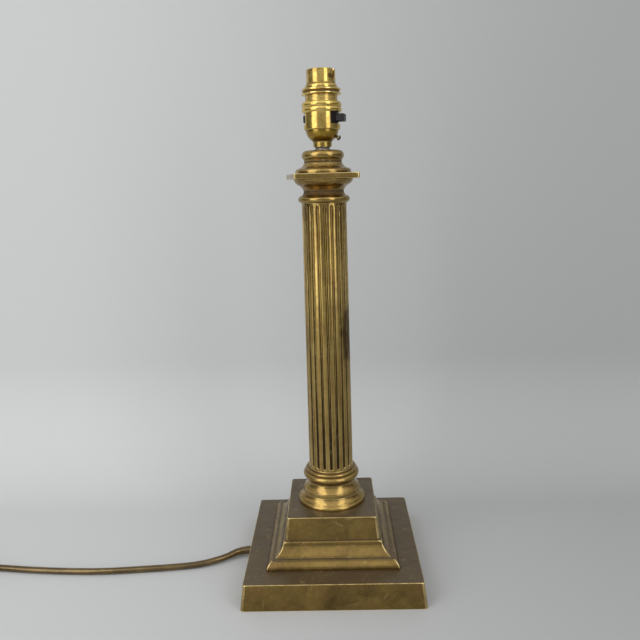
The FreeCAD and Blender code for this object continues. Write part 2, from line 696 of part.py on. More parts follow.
def screw_place():
    """Where the cup screw enters the bowl, and its slant: along +Z of the screw is out and down."""
    turn = Rotation(Vector(0, 0, 1), plain(S.screw_azimuth - 90))
    slant = Rotation(Vector(0, 1, 0), 90 + plain(S.screw_tilt))
    rise = Vector(0, 0, plain(cup_seat + S.screw_rise))
    where = around(S.screw_azimuth, cup_rim_radius - S.screw_inset) + rise
    return Placement(where, turn.multiply(slant))


def holder_cup():
    """The lower cup: a neck on the nipple and a bowl, with the threaded hole of its screw."""
    wall, neck, height, rim = S.cup_wall, S.cup_neck_height, S.cup_height, cup_rim_radius
    thread, outside = S.nipple_radius + S.fit_gap, S.cup_neck_radius
    floor = S.nipple_length - S.nipple_show + wall + 0.3
    cup = turned("cup", cup_seat, [
        (thread, 0), (outside, 0), (outside, neck), (outside + 0.4, neck + 0.5, S.cup_bowl_radius),
        (rim, height), (rim - wall, height, wall - S.cup_bowl_radius), (outside, floor), (thread, floor),
    ])
    radius = S.screw_radius + S.fit_gap
    hole = new("Part::Cylinder", "cup_screw_hole", Radius=radius, Height=S.screw_length * 2)
    hole.Placement = screw_place().multiply(Placement(Vector(0, 0, -plain(S.screw_length)), Rotation()))
    return node(joined("Part::Cut", "bored_cup", cup, hole), "holder_cup")


def cup_screw():
    """The round-headed screw that locks the cup on its nipple."""
    stand, height, edge = S.screw_stand, S.screw_head_height, S.screw_head_height * 0.4
    shank, head, tip = S.screw_radius, S.screw_head_radius, S.screw_stand - S.screw_length
    screw = turned("screw", 0, [
        (0, tip), (shank, tip), (shank, stand), (head, stand),
        (head, stand + edge, crown(head, height - edge)), (0, stand + height),
    ])
    screw.Placement = screw_place()
    return node(screw, "cup_screw")


def holder_skirt():
    """The lower case: a threaded tube with an inner lip and a window on each side for the switch bar."""
    radius, bore, height, thread = skirt_radius, skirt_bore, S.skirt_height, skirt_thread_radius
    top = height + S.skirt_thread
    case = turned("skirt", seam, [
        (bore - 1.5, 0), (radius - 0.9, 0, 0.9), (radius, 0.9), (radius, height), (thread, height),
        (thread, top), (bore, top), (bore, S.skirt_floor), (bore - 1.5, S.skirt_floor),
    ])
    windows = []
    opening = height - S.window_sill + 1
    for name, turn in (("window_right", S.window_turn - 90), ("window_left", S.window_turn + 90)):
        window = new("Part::Cylinder", name, Radius=radius * 2, Height=opening, Angle=S.window_angle)
        windows.append(place(window, z=seam + S.window_sill, turn=turn))
    return node(joined("Part::Cut", "windowed_skirt", case, fused("windows", windows)), "holder_skirt")


def union_ring():
    """The double-beaded ring that draws the barrel's flange down on the skirt."""
    bore, height, lip_bore = union_bore, S.union_height, S.thread_radius + S.fit_gap * 3
    groove = bore + S.union_wall - 0.7
    return node(turned("union", union_seat, [
        (bore, 0), (groove, 0, 3.4), (groove, height / 2, 3.4), (groove - 0.2, height), (lip_bore, height),
        (lip_bore, height - S.union_lip), (bore, height - S.union_lip),
    ]), "union_ring")


def bayonet_cut(name, turn):
    """One J-slot: a slot down from the rim, a hook round the barrel and a pocket at its end."""
    width, depth = S.slot_width, S.slot_depth
    floor = barrel_top - depth
    slot = new("Part::Box", f"{name}_slot", Length=S.barrel_radius * 2, Width=width, Height=depth + 1)
    slot.Placement = Placement(Vector(0, 0, plain(floor)), Rotation(Vector(0, 0, 1), plain(turn)))
    slot.Placement.Base = slot.Placement.multVec(Vector(0, -plain(width) / 2, 0))
    bind(slot, "Placement.Base.z", floor)
    hook = new("Part::Cylinder", f"{name}_hook", Radius=S.barrel_radius * 2, Height=width, Angle=S.slot_hook)
    place(hook, z=floor, turn=turn - S.slot_hook)
    pocket = new("Part::Cylinder", f"{name}_pocket", Radius=S.pocket_radius, Height=S.barrel_radius * 2)
    across = Rotation(Vector(0, 0, 1), plain(turn - S.slot_hook)).multiply(Rotation(Vector(0, 1, 0), 90))
    pocket.Placement = Placement(Vector(0, 0, plain(floor + width - 0.6)), across)
    return [slot, hook, pocket]


def bulb_barrel():
    """The bayonet barrel: a clamped flange, a threaded part, a rounded shoulder and the slotted mouth."""
    thread, mouth, bore = S.thread_radius, S.barrel_radius, S.barrel_bore
    shoulder = S.barrel_flange + S.thread_height
    waist = shoulder + S.shoulder_height
    top = waist + S.barrel_height
    inside, flange = thread - S.barrel_wall, barrel_flange_radius
    barrel = turned("barrel", barrel_seat, [
        (inside, 0), (flange, 0), (flange, S.barrel_flange), (thread, S.barrel_flange),
        (thread, shoulder, S.shoulder_height), (mouth, waist), (mouth, top - 0.4), (mouth - 0.4, top),
        (bore, top), (bore, waist - 0.6), (inside, shoulder),
    ])
    turns = (S.slot_turn - 90, S.slot_turn + 90)
    cuts = [cut for name, turn in zip(("right", "left"), turns) for cut in bayonet_cut(name, turn)]
    return node(joined("Part::Cut", "slotted_barrel", barrel, fused("bayonet_slots", cuts)), "bulb_barrel")


def shade_ring():
    """The loose ring with two thin flanges that turns on the barrel."""
    bore, height = shade_ring_bore, S.shade_ring_height
    radius = bore + S.shade_ring_reach
    flange = height * 0.37
    return node(turned("shade_ring_body", ring_seat, [
        (bore, 0), (radius - 0.4, 0), (radius, 0.4), (radius, flange - 0.2), (radius - 1.65, flange + 0.2),
        (radius - 1.65, height - flange - 0.2), (radius, height - flange + 0.2), (radius, height - 0.4),
        (radius - 0.4, height), (bore, height),
    ]), "shade_ring")


# The switch and its contacts
def bar_box(name, start, length, gap):
    """A box across the lampholder in the switch bar's place, grown round its long sides by a gap."""
    half, height = S.bar_width / 2 + gap, S.bar_height + gap * 2
    body = new_body(name)
    end = start + length
    padded(body, "XY_Plane", [(start, -half), (end, -half), (end, half), (start, half)], height)
    return place(body, z=seam + S.bar_rise - gap, turn=S.bar_azimuth - 90)


def push_bar():
    return node(bar_box("bar", S.bar_reach - S.bar_length, S.bar_length, 0), "push_bar")


def pair(kind, radius, height, low, spread):
    """Two upright cylinders on opposite sides of the axis, on the line of the contacts."""
    found = []
    for side, turn in (("right", S.plunger_azimuth), ("left", S.plunger_azimuth + 180)):
        thing = new("Part::Cylinder", f"{kind}_{side}", Radius=radius, Height=height)
        thing.Placement.Base = around(turn, spread) + Vector(0, 0, plain(low))
        bind(thing, "Placement.Base.z", low)
        found.append(thing)
    return found


def switch_block():
    """The moulded block that fills the skirt and the barrel, with the bar's slot and the plungers' bores."""
    waist, top = block_waist - block_seat, block_top - block_seat
    block = turned("block", block_seat, [
        (0, 0), (block_radius, 0), (block_radius, waist), (block_head_radius, waist),
        (block_head_radius, top), (0, top),
    ])
    bores = pair("plunger_bore", S.plunger_radius + S.plunger_clearance, S.bore_depth + 1,
                 block_top - S.bore_depth, S.plunger_spread)
    slot = bar_box("bar_slot", -block_radius * 2, block_radius * 4, S.bar_clearance)
    cuts = fused("block_cuts", bores + [slot])
    return node(joined("Part::Cut", "bored_block", block, cuts), "switch_block")


def contacts():
    """The two plungers with their domed ends, each on a coil spring at the foot of its bore."""
    radius, length, dome = S.plunger_radius, S.plunger_length, S.plunger_dome
    bore_floor = block_top - S.bore_depth
    seat = block_top + S.plunger_show - length
    for side, turn in (("right", S.plunger_azimuth), ("left", S.plunger_azimuth + 180)):
        plunger = turned(f"contact_{side}", seat, [
            (0, 0), (radius, 0), (radius, length - dome, crown(radius, dome)), (0, length),
        ])
        plunger.Placement.Base = around(turn, S.plunger_spread) + Vector(0, 0, plain(seat))
        node(plunger, f"plunger_{side}")
        body = new_body(f"coil_{side}")
        wire = sketch_on(body, "XZ_Plane")
        gauge = S.spring_wire / 2
        wire.addGeometry(Part.Circle(Vector(plain(S.spring_radius), 0, 0), Vector(0, 0, 1), plain(gauge)))
        pin_to(wire, 0, 3, 0, S.spring_radius)
        pin_to(wire, 0, 3, 1, 0)
        number = wire.addConstraint(Sketcher.Constraint("Radius", 0, plain(gauge)))
        bind(wire, f"Constraints[{number}]", gauge)
        helix = body.newObject("PartDesign::AdditiveHelix", f"turns_{side}")
        helix.Profile = wire
        helix.ReferenceAxis = (wire, ["V_Axis"])
        helix.Mode = "height-turns-angle"
        height = seat - bore_floor - S.spring_wire - S.fit_gap * 2
        helix.Height = plain(height)
        bind(helix, "Height", height)
        helix.Turns = plain(S.spring_turns)
        bind(helix, "Turns", S.spring_turns)
        low = bore_floor + gauge + S.fit_gap
        body.Placement.Base = around(turn, S.plunger_spread) + Vector(0, 0, plain(low))
        bind(body, "Placement.Base.z", low)
        node(body, f"plunger_spring_{side}")


def terminals():
    """The two posts under the block, their clamping screws and the flex cores that end in them."""
    post_seat = block_seat - S.post_height
    core = S.core_diameter / 2
    posts = pair("post", S.post_radius, S.post_height, post_seat, S.post_spread)
    bores = pair("post_bore", core + S.fit_gap, S.post_height, post_seat - 1, S.post_spread)
    screws, holes = [], []
    for side, turn in (("right", S.plunger_azimuth), ("left", S.plunger_azimuth + 180)):
        across = Rotation(Vector(0, 0, 1), plain(turn) - 90).multiply(Rotation(Vector(0, 1, 0), 90))
        where = Placement(around(turn, S.post_spread + core + S.fit_gap * 4), across)
        where.Base.z = plain(post_seat + S.post_height * 0.6)
        radius, length = S.post_radius * 0.36, S.post_radius
        screw = new("Part::Cylinder", f"terminal_screw_{side}", Radius=radius, Height=length)
        hole = new("Part::Cylinder", f"terminal_hole_{side}", Radius=radius + S.fit_gap, Height=length * 2)
        screw.Placement = hole.Placement = where
        screws.append(screw)
        holes.append(hole)
    cuts = fused("post_bores", bores + holes)
    node(joined("Part::Cut", "bored_posts", fused("posts", posts), cuts), "terminal_posts")
    node(grouped("screws", screws), "terminal_screws")
    flex_end, post = plain(nipple_seat + S.rod_head), plain(post_seat)
    heights = [flex_end, flex_end + 2.4, post - 2.2, post + plain(S.post_height) - 1.4]
    for label, turn in (("neutral_core", S.plunger_azimuth), ("live_core", S.plunger_azimuth + 180)):
        near, far = around(turn, core + 0.3), around(turn, S.post_spread)
        route = [spot + Vector(0, 0, height) for spot, height in zip((near, near, far, far), heights)]
        node(shaped(f"{label}_wire", swept(rounded_path(route), S.core_diameter)), label)


# The flex, the put-away coil and the plug
def inner_flex():
    """The flex from its bush across the base and up the rod."""
    start = (-flex_exit.value, S.exit_offset.value, exit_height.value)
    end = (0.0, 0.0, plain(nipple_seat + S.rod_head))
    path = rounded_path([start, *INNER_ROUTE, end], "inner flex")
    return node(shaped("flex_inside", swept(path, S.flex_diameter)), "inner_flex")


def flex_cord():
    """The flex along the table, from its bush to the coil."""
    start = (-flex_exit.value, S.exit_offset.value, exit_height.value)
    path = rounded_path([start, *FLEX_ROUTE, (*COIL_ENTRY, flex_lift.value)], "flex")
    node(shaped("flex_on_table", swept(path, S.flex_diameter)), "flex_cord")
    return path.Length


def biarc(start, heading, end, leaving):
    """Two arcs that run from start to end and meet tangents at both."""
    span, both = end - start, heading + leaving
    bend = 2 * (1 - heading.dot(leaving))
    along = span.dot(both)
    reach = (math.sqrt(along * along + bend * span.dot(span)) - along) / bend
    first, last = start + heading * reach, end - leaving * reach
    middle = (first + last) / 2
    edges = []
    for near, corner, far in ((start, first, middle), (middle, last, end)):
        chord = (near + far) / 2
        half_turn = (corner - near).getAngle(far - corner) / 2
        crown = chord + (corner - chord) * (math.tan(half_turn / 2) / math.tan(half_turn))
        edges.append(Part.Arc(near, crown, far).toShape())
    return edges


def coil_path():
    """Half turns that wind in, climb a layer in the half turn where they reverse, and wind out again."""
    half_turns = round(S.coil_turns.value * 2)
    diameter = S.flex_diameter.value
    shrink, outer = (diameter + S.coil_gap.value) / 2, S.coil_radius.value
    inward = [outer - shrink * index for index in range(half_turns)]
    radii = inward + [inward[-1] - shrink] + inward[:0:-1]
    x, y = COIL_ENTRY
    step = diameter + S.coil_layer_gap.value
    edges, z = [], flex_lift.value
    for index, radius in enumerate(radii):
        side = 1 if index % 2 == 0 else -1
        rise = step if index == half_turns else 0.0
        start = Vector(x, y, z)
        middle = Vector(x - side * radius, y - side * radius, z + rise / 2)
        finish = Vector(x, y - side * 2 * radius, z + rise)
        steepest = Vector(0, -side, 1.5 * rise / (math.pi * radius)).normalize()
        edges += biarc(start, Vector(-side, 0, 0), middle, steepest)
        edges += biarc(middle, steepest, finish, Vector(side, 0, 0))
        y, z = finish.y, finish.z
    tip = Vector(x - diameter, y, z)
    edges.append(Part.LineSegment(Vector(x, y, z), tip).toShape())
    return Part.Wire(edges), tip


def least_gap(path, diameter):
    """The least gap of a wound tube to itself, measured on points of its centre line."""
    points = path.discretize(Distance=2.0)
    apart = round(diameter * 3 / 2.0)
    gaps = [(a - b).Length for index, a in enumerate(points) for b in points[index + apart:]]
    return min(gaps) - diameter


def flex_coil():
    """The rest of the flex, put away in a flat coil of two layers."""
    path, tip = coil_path()
    print(f"coil: least gap to itself {least_gap(path, S.flex_diameter.value):.2f} mm")
    node(shaped("flex_put_away", swept(path, S.flex_diameter)), "flex_coil")
    return path.Length, tip


def flex_tail(tip):
    """The flex from the coil into the plug's clamp."""
    x, y = PLUG_ENTRY
    route = [tip, *TAIL_ROUTE, (x - S.flex_in_plug.value, y, S.plug_cover_height.value)]
    path = rounded_path(route, "flex tail")
    node(shaped("flex_to_plug", swept(path, S.flex_diameter)), "flex_tail")
    return path.Length


def plug_block(name, inset, low, height):
    """A block with the plug's rounded outline, drawn in by an inset."""
    length, width, corner = S.plug_length / 2 - inset, S.plug_width / 2 - inset, S.plug_corner - inset
    body = new_body(name)
    padded(body, "XY_Plane", [
        (length - corner, -width, corner), (length, corner - width), (length, width - corner, corner),
        (length - corner, width), (corner - length, width, corner), (-length, width - corner),
        (-length, corner - width, corner), (corner - length, -width),
    ], height)
    return place(body, PLUG_MIDDLE, PLUG_ENTRY[1], low)


def plug_box(name, length, width, low, high, x, y=0):
    """An upright box in the plug, at a distance from the plug's entry face and its middle line."""
    box = new("Part::Box", name, Length=length, Width=width, Height=high - low)
    return place(box, -x - length / 2 + PLUG_ENTRY[0], y - width / 2 + PLUG_ENTRY[1], low)


def plug_drum(name, radius, low, high, x, y=0):
    """An upright cylinder in the plug."""
    return place(new("Part::Cylinder", name, Radius=radius, Height=high - low), -x + PLUG_ENTRY[0],
                 y + PLUG_ENTRY[1], low)


def plug_notch(name):
    """The round way in for the flex, through the plug's entry wall."""
    notch = new("Part::Cylinder", name, Radius=S.flex_diameter / 2 + S.fit_gap * 2, Height=S.plug_wall * 3)
    inside = -S.plug_wall * 2 + PLUG_ENTRY[0]
    return place(notch, inside, PLUG_ENTRY[1], S.plug_cover_height, 90.0, Vector(0, 1, 0))


def plug_shells():
    """The cover with its screw boss, and the base with its pin holes and the saddle over the flex."""
    wall, split = S.plug_wall, S.plug_cover_height
    top = split + S.plug_base_height
    ceiling = top - wall
    slip = S.fit_gap
    shell = joined("Part::Cut", "cover_tray", plug_block("cover_block", 0, 0, split),
                   plug_block("cover_room", wall, wall, split))
    boss = plug_drum("cover_boss", S.plug_screw_head + 1, wall / 2, ceiling - slip * 4, boss_place)
    thread = S.plug_screw_radius + slip
    cover_cuts = fused("cover_cuts", [
        plug_notch("cover_notch"), plug_drum("boss_thread", thread, wall + 1, top, boss_place),
    ])
    cover = joined("Part::Cut", "bored_cover", fused("cover_with_boss", [shell, boss]), cover_cuts)
    node(cover, "plug_cover")
    tray = joined("Part::Cut", "base_tray", plug_block("plug_base_block", 0, split, S.plug_base_height),
                  plug_block("plug_base_room", wall, split - 1, ceiling - split + 1))
    saddle_foot = split + S.flex_diameter / 2 + slip * 2
    saddle = plug_box("saddle", S.clamp_width, S.clamp_length, saddle_foot, ceiling + wall / 2, clamp_place)
    line_width, line_length = S.pin_width + slip * 2, S.pin_thickness + slip * 2
    cuts = [
        plug_box("right_pin_hole", line_length, line_width, split, top + 1, S.pin_inset, S.pin_pitch),
        plug_box("left_pin_hole", line_length, line_width, split, top + 1, S.pin_inset, -S.pin_pitch),
        plug_box("earth_pin_hole", S.earth_width + slip * 2, line_length, split, top + 1, earth_place),
        plug_drum("cover_screw_hole", thread, ceiling - 1, top + 1, boss_place),
        plug_drum("cover_screw_seat", S.plug_screw_head + slip * 2, top - wall / 2, top + 1, boss_place),
        plug_notch("base_notch"),
    ]
    for side, across in (("right", clamp_screw_place), ("left", -clamp_screw_place)):
        cuts.append(plug_drum(f"saddle_hole_{side}", thread, split, ceiling, clamp_place, across))
    base = fused("base_with_saddle", [tray, saddle])
    node(joined("Part::Cut", "bored_base", base, fused("base_cuts", cuts)), "plug_base")


def plug_pins():
    """The three pins, which stand up because the plug lies on its cover."""
    low, top = S.plug_cover_height + S.fit_gap * 4, S.plug_cover_height + S.plug_base_height
    tip = top + S.pin_length
    node(grouped("line_pins", [
        plug_box("right_pin", S.pin_thickness, S.pin_width, low, tip, S.pin_inset, S.pin_pitch),
        plug_box("left_pin", S.pin_thickness, S.pin_width, low, tip, S.pin_inset, -S.pin_pitch),
    ]), "plug_line_pins")
    earth = plug_box("earth_pin", S.earth_width, S.pin_thickness, low, top + S.earth_length, earth_place)
    node(earth, "plug_earth_pin")


def plug_insides():
    """The fuse under one line pin, the bar that clamps the flex to its saddle, and the three screws."""
    radius = S.fuse_radius
    height = S.plug_cover_height + S.fit_gap * 2 - radius
    fuse = new("Part::Cylinder", "fuse_body", Radius=radius, Height=S.fuse_length)
    end = -S.pin_inset - S.fuse_length + S.pin_thickness + PLUG_ENTRY[0]
    node(place(fuse, end, S.pin_pitch + PLUG_ENTRY[1], height, 90.0, Vector(0, 1, 0)), "plug_fuse")
    bar_top = S.plug_cover_height - S.flex_diameter / 2 - S.fit_gap
    bar_foot = bar_top - S.clamp_thickness
    bar = plug_box("clamp_bar", S.clamp_width, S.clamp_length, bar_foot, bar_top, clamp_place)
    head = S.clamp_thickness / 2
    top = S.plug_cover_height + S.plug_base_height
    holes, screws = [], []
    shank, tip, hole = S.plug_screw_radius, top - S.plug_wall * 2, S.plug_screw_radius + S.fit_gap
    for side, across in (("right", clamp_screw_place), ("left", -clamp_screw_place)):
        holes.append(plug_drum(f"clamp_hole_{side}", hole, bar_foot - 1, bar_top + 1, clamp_place, across))
        screws.append(fused(f"clamp_screw_{side}", [
            plug_drum(f"clamp_shank_{side}", shank, bar_foot - head, tip, clamp_place, across),
            plug_drum(f"clamp_head_{side}", shank * 1.5, bar_foot - head, bar_foot, clamp_place, across),
        ]))
    node(joined("Part::Cut", "drilled_bar", bar, fused("clamp_holes", holes)), "plug_cord_clamp")
    screws.append(fused("cover_screw", [
        plug_drum("cover_shank", S.plug_screw_radius, S.plug_wall * 2, top - S.plug_wall / 2, boss_place),
        plug_drum("cover_head", S.plug_screw_head, top - S.plug_wall / 2, top - S.plug_wall / 8, boss_place),
    ]))
    node(grouped("plug_screw_set", screws), "plug_screws")


PLUG_MIDDLE = -S.plug_length / 2 + PLUG_ENTRY[0]
earth_place = S.pin_inset + S.earth_pitch
boss_place = S.pin_inset + S.earth_pitch / 2 - 1
clamp_place = S.clamp_inset + S.clamp_width / 2
clamp_screw_place = S.clamp_length / 2 - S.plug_screw_radius * 1.6

stepped_base()
underside()
cord_bush()
tie_rod()
rod_fasteners()
column_foot()
reeded_column()
capital()
abacus_plate()
top_cap()
holder_nipple()
holder_cup()
cup_screw()
holder_skirt()
union_ring()
bulb_barrel()
shade_ring()
push_bar()
switch_block()
contacts()
terminals()
inner_flex()
on_table = flex_cord()
in_coil, coil_tip = flex_coil()
to_plug = flex_tail(coil_tip)
print(f"flex outside the base: {on_table + in_coil + to_plug:.0f} mm")
plug_shells()
plug_pins()
plug_insides()
doc.recompute()

for thing in doc.Objects:
    if {"Invalid", "Error"} & set(thing.State):
        raise ValueError(f"{thing.Name} did not build: {thing.State}")
for thing in NODES:
    if thing.Shape.isNull() or not thing.Shape.isValid():
        raise ValueError(f"{thing.Label} has no valid shape")

shaft = doc.getObject("shaft")
plain_shaft = doc.getObject("shaft_turned").Shape.Volume
flute_volume = math.pi * S.flute_radius.value ** 2 / 2 * S.shaft_length.value * S.flute_count.value
if abs((plain_shaft - shaft.Shape.Volume) / flute_volume - 1) > 0.3:
    raise ValueError("the grooves did not cut the shaft as they should")

os.makedirs("parts", exist_ok=True)
for thing in NODES:
    thing.Shape.exportStep(f"parts/{thing.Label}.step")
print(len(NODES), "sub-parts written")
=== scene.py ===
"""A column table lamp in aged brass, with its switched lampholder, gold flex and plug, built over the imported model."""

import math

import bmesh
import bpy
import numpy as np
from mathutils import Matrix, Vector


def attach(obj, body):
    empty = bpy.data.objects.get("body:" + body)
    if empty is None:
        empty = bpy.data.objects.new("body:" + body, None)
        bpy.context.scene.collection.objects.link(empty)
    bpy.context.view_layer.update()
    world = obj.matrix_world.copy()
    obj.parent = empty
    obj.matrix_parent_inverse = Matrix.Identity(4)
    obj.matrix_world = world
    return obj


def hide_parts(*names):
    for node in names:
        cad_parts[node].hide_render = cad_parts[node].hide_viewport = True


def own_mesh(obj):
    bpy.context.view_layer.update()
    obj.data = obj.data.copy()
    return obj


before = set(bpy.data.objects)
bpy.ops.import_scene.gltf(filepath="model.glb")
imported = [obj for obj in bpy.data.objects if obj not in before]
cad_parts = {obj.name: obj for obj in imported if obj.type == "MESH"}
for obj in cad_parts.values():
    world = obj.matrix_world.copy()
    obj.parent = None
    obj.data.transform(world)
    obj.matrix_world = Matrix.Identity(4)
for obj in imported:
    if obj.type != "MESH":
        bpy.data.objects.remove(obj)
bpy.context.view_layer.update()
MM = 0.001
SCENE = bpy.context.scene
UP = Vector((0, 0, 1))


# ---------------------------------------------------------------- camera
CAMERA_PLACE = Vector((6.4, -591.0, 366.1)) * MM
CAMERA_PITCH, CAMERA_YAW, CAMERA_ROLL = 11.72, -1.267, -1.664
FOCAL_SHARE = 652.3 / 640
SENSOR = 36.0


def photo_camera():
    """The camera at the photograph's place, looking a little down and leaning a little to the left."""
    pitch, yaw, roll = (math.radians(angle) for angle in (CAMERA_PITCH, CAMERA_YAW, CAMERA_ROLL))
    level = Vector((math.sin(yaw), math.cos(yaw), 0))
    across = Vector((math.cos(yaw), -math.sin(yaw), 0))
    ahead = level * math.cos(pitch) - UP * math.sin(pitch)
    above = UP * math.cos(pitch) + level * math.sin(pitch)
    right = across * math.cos(roll) + above * math.sin(roll)
    top = above * math.cos(roll) - across * math.sin(roll)
    lens = bpy.data.cameras.new("photo_camera")
    lens.sensor_width, lens.lens = SENSOR, SENSOR * FOCAL_SHARE
    camera = bpy.data.objects.new("photo_camera", lens)
    SCENE.collection.objects.link(camera)
    turn = Matrix((right, top, -ahead)).transposed().to_4x4()
    camera.matrix_world = Matrix.Translation(CAMERA_PLACE) @ turn
    SCENE.camera = camera


# ---------------------------------------------------------------- the flex's route
FLEX_DIAMETER = 6.2
FLEX_EXIT = (-82.85, 7.5, 6.0)
FLEX_ROUTE = [
    FLEX_EXIT, (-93.5, 7.5, 6.0), (-108.0, -4.0, 4.8), (-131.0, -13.4, 3.5), (-160.0, -17.0, 3.2),
    (-190.0, -19.6, 3.2), (-226.0, -22.2, 3.2), (-264.0, -20.6, 3.2), (-300.0, -17.2, 3.2),
    (-332.0, -12.4, 3.2), (-362.0, -10.0, 3.2), (-381.0, -10.0, 3.2),
]
COIL_ENTRY = (-390.0, -10.0)
COIL_RADII = (46.0, 42.5, 39.0, 35.5, 32.0, 28.5, 25.0, 28.5, 32.0, 35.5, 39.0, 42.5)
COIL_CLIMB = 6
COIL_LOW, COIL_HIGH = 3.2, 10.1
COIL_STEPS = 8
TAIL_ROUTE = [(-398.0, -10.0, 10.1), (-413.0, -10.0, 10.1), (-434.0, -13.0, 10.1), (-463.0, -13.0, 10.1)]
INNER_ROUTE = [
    FLEX_EXIT, (-57.0, 7.5, 6.0), (-31.0, 4.0, 6.0), (-11.3, 1.4, 17.3), (0.0, 0.0, 36.7), (0.0, 0.0, 120.0),
    (0.0, 0.0, 401.9),
]


def coil_points():
    """Half turns that wind in, climb a layer and wind out again, a fixed number of points to each."""
    x, y = COIL_ENTRY
    points = []
    for index, radius in enumerate(COIL_RADII):
        side = 1 if index % 2 == 0 else -1
        reach = radius / math.cos(math.pi / COIL_STEPS / 2)
        for step in range(COIL_STEPS):
            share = (step + 0.5) / COIL_STEPS
            angle = math.pi / 2 + math.pi * share
            climb = share if index == COIL_CLIMB else float(index > COIL_CLIMB)
            rise = climb * climb * (3 - 2 * climb) if index == COIL_CLIMB else climb
            points.append((
                x + side * reach * math.cos(angle), y - side * radius + side * reach * math.sin(angle),
                COIL_LOW + (COIL_HIGH - COIL_LOW) * rise,
            ))
        y -= side * 2 * radius
    return points


def cord_curve(name, points, diameter, finish):
    """A round cord on one smooth spline whose control points are the route's points."""
    line = bpy.data.curves.new(name, "CURVE")
    line.dimensions, line.resolution_u = "3D", 6
    spline = line.splines.new("NURBS")
    spline.points.add(len(points) - 1)
    for point, (x, y, z) in zip(spline.points, points):
        point.co = (x * MM, y * MM, z * MM, 1)
    spline.order_u = 3
    spline.use_endpoint_u = True
    line.bevel_depth, line.bevel_resolution, line.use_fill_caps = diameter / 2 * MM, 5, True
    line.materials.append(finish)
    cord = bpy.data.objects.new(name, line)
    SCENE.collection.objects.link(cord)
    return cord


def centre_line(cord):
    """The points of a cord's own spline, in millimetres."""
    bare = cord.copy()
    bare.data = cord.data.copy()
    bare.data.bevel_depth = 0
    SCENE.collection.objects.link(bare)
    bpy.context.view_layer.update()
    line = bpy.data.meshes.new_from_object(bare.evaluated_get(bpy.context.evaluated_depsgraph_get()))
    points = [Vector(vertex.co) / MM for vertex in line.vertices]
    bpy.data.objects.remove(bare)
    bpy.data.meshes.remove(line)
    return points


# ---------------------------------------------------------------- node trees
class Value:
    """A socket that sums can be written with. Each sign adds one maths node to its tree."""

    def __init__(self, graph, socket):
        self.graph, self.socket = graph, socket

    def by(self, operation, *others, clamp=False):
        return self.graph.maths(operation, self, *others, clamp=clamp)

    def __add__(self, other):
        return self.by("ADD", other)

    def __sub__(self, other):
        return self.by("SUBTRACT", other)

    def __rsub__(self, other):
        return self.graph.maths("SUBTRACT", other, self)

    def __mul__(self, other):
        return self.by("MULTIPLY", other)

    def __truediv__(self, other):
        return self.by("DIVIDE", other)

    def __rtruediv__(self, other):
        return self.graph.maths("DIVIDE", other, self)


class Graph:
    """Adds nodes to one tree. A Value given as an input is linked, and anything else is set."""

    def __init__(self, tree):
        self.tree = tree

    def add(self, kind, inputs=None, **settings):
        made = self.tree.nodes.new(kind)
        for name, value in settings.items():
            setattr(made, name, value)
        for name, value in (inputs or {}).items():
            self.feed(made.inputs[name], value)
        return made

    def feed(self, socket, value):
        if isinstance(value, Value):
            self.tree.links.new(value.socket, socket)
        else:
            socket.default_value = (*value, 1.0) if socket.type == "RGBA" else value

    def value(self, kind, inputs=None, output=0, **settings):
        return Value(self, self.add(kind, inputs, **settings).outputs[output])

    def named(self, sockets):
        return {socket.name: Value(self, socket) for socket in sockets}

    def maths(self, operation, *values, clamp=False):
        return self.value("ShaderNodeMath", dict(enumerate(values)), operation=operation, use_clamp=clamp)

    def vectors(self, operation, *values):
        output = "Value" if operation == "LENGTH" else "Vector"
        return self.value("ShaderNodeVectorMath", dict(enumerate(values)), output, operation=operation)

    def split(self, vector):
        parts = self.add("ShaderNodeSeparateXYZ", {0: vector}).outputs
        return [Value(self, part) for part in parts]

    def joined(self, *parts):
        return self.value("ShaderNodeCombineXYZ", dict(enumerate(parts)))

    def mix(self, share, first, second):
        return self.value("ShaderNodeMix", {0: share, 6: first, 7: second}, 2, data_type="RGBA")

    def layered(self, colour, *layers):
        """The colour with each (share, colour) laid over it in turn."""
        for share, tint in layers:
            colour = self.mix(share, colour, tint)
        return colour

    def between(self, share, first, second):
        return self.value("ShaderNodeMix", {0: share, 2: first, 3: second})

    def ramp(self, value, low, high, start=0.0, end=1.0):
        return self.value("ShaderNodeMapRange", {
            "Value": value, "From Min": low, "From Max": high, "To Min": start, "To Max": end,
        }, interpolation_type="SMOOTHSTEP")

    def noise(self, place, scale, detail=3.0, rough=0.55, stir=0.0):
        return self.value("ShaderNodeTexNoise", {
            "Vector": place, "Scale": scale, "Detail": detail, "Roughness": rough, "Distortion": stir,
        })

    def place(self):
        return self.value("ShaderNodeTexCoord", output="Object")

    def moved(self, place, turn=(0, 0, 0), scale=(1, 1, 1), shift=(0, 0, 0)):
        return self.value("ShaderNodeMapping", {
            "Vector": place, "Location": shift, "Rotation": [math.radians(angle) for angle in turn], "Scale": scale,
        })

    def mark(self, name):
        return self.value("ShaderNodeAttribute", output="Fac", attribute_name=name)

    def use(self, group, **inputs):
        made = self.add("ShaderNodeGroup", node_tree=group)
        for name, value in inputs.items():
            self.feed(made.inputs[name.capitalize()], value)
        return self.named(made.outputs)


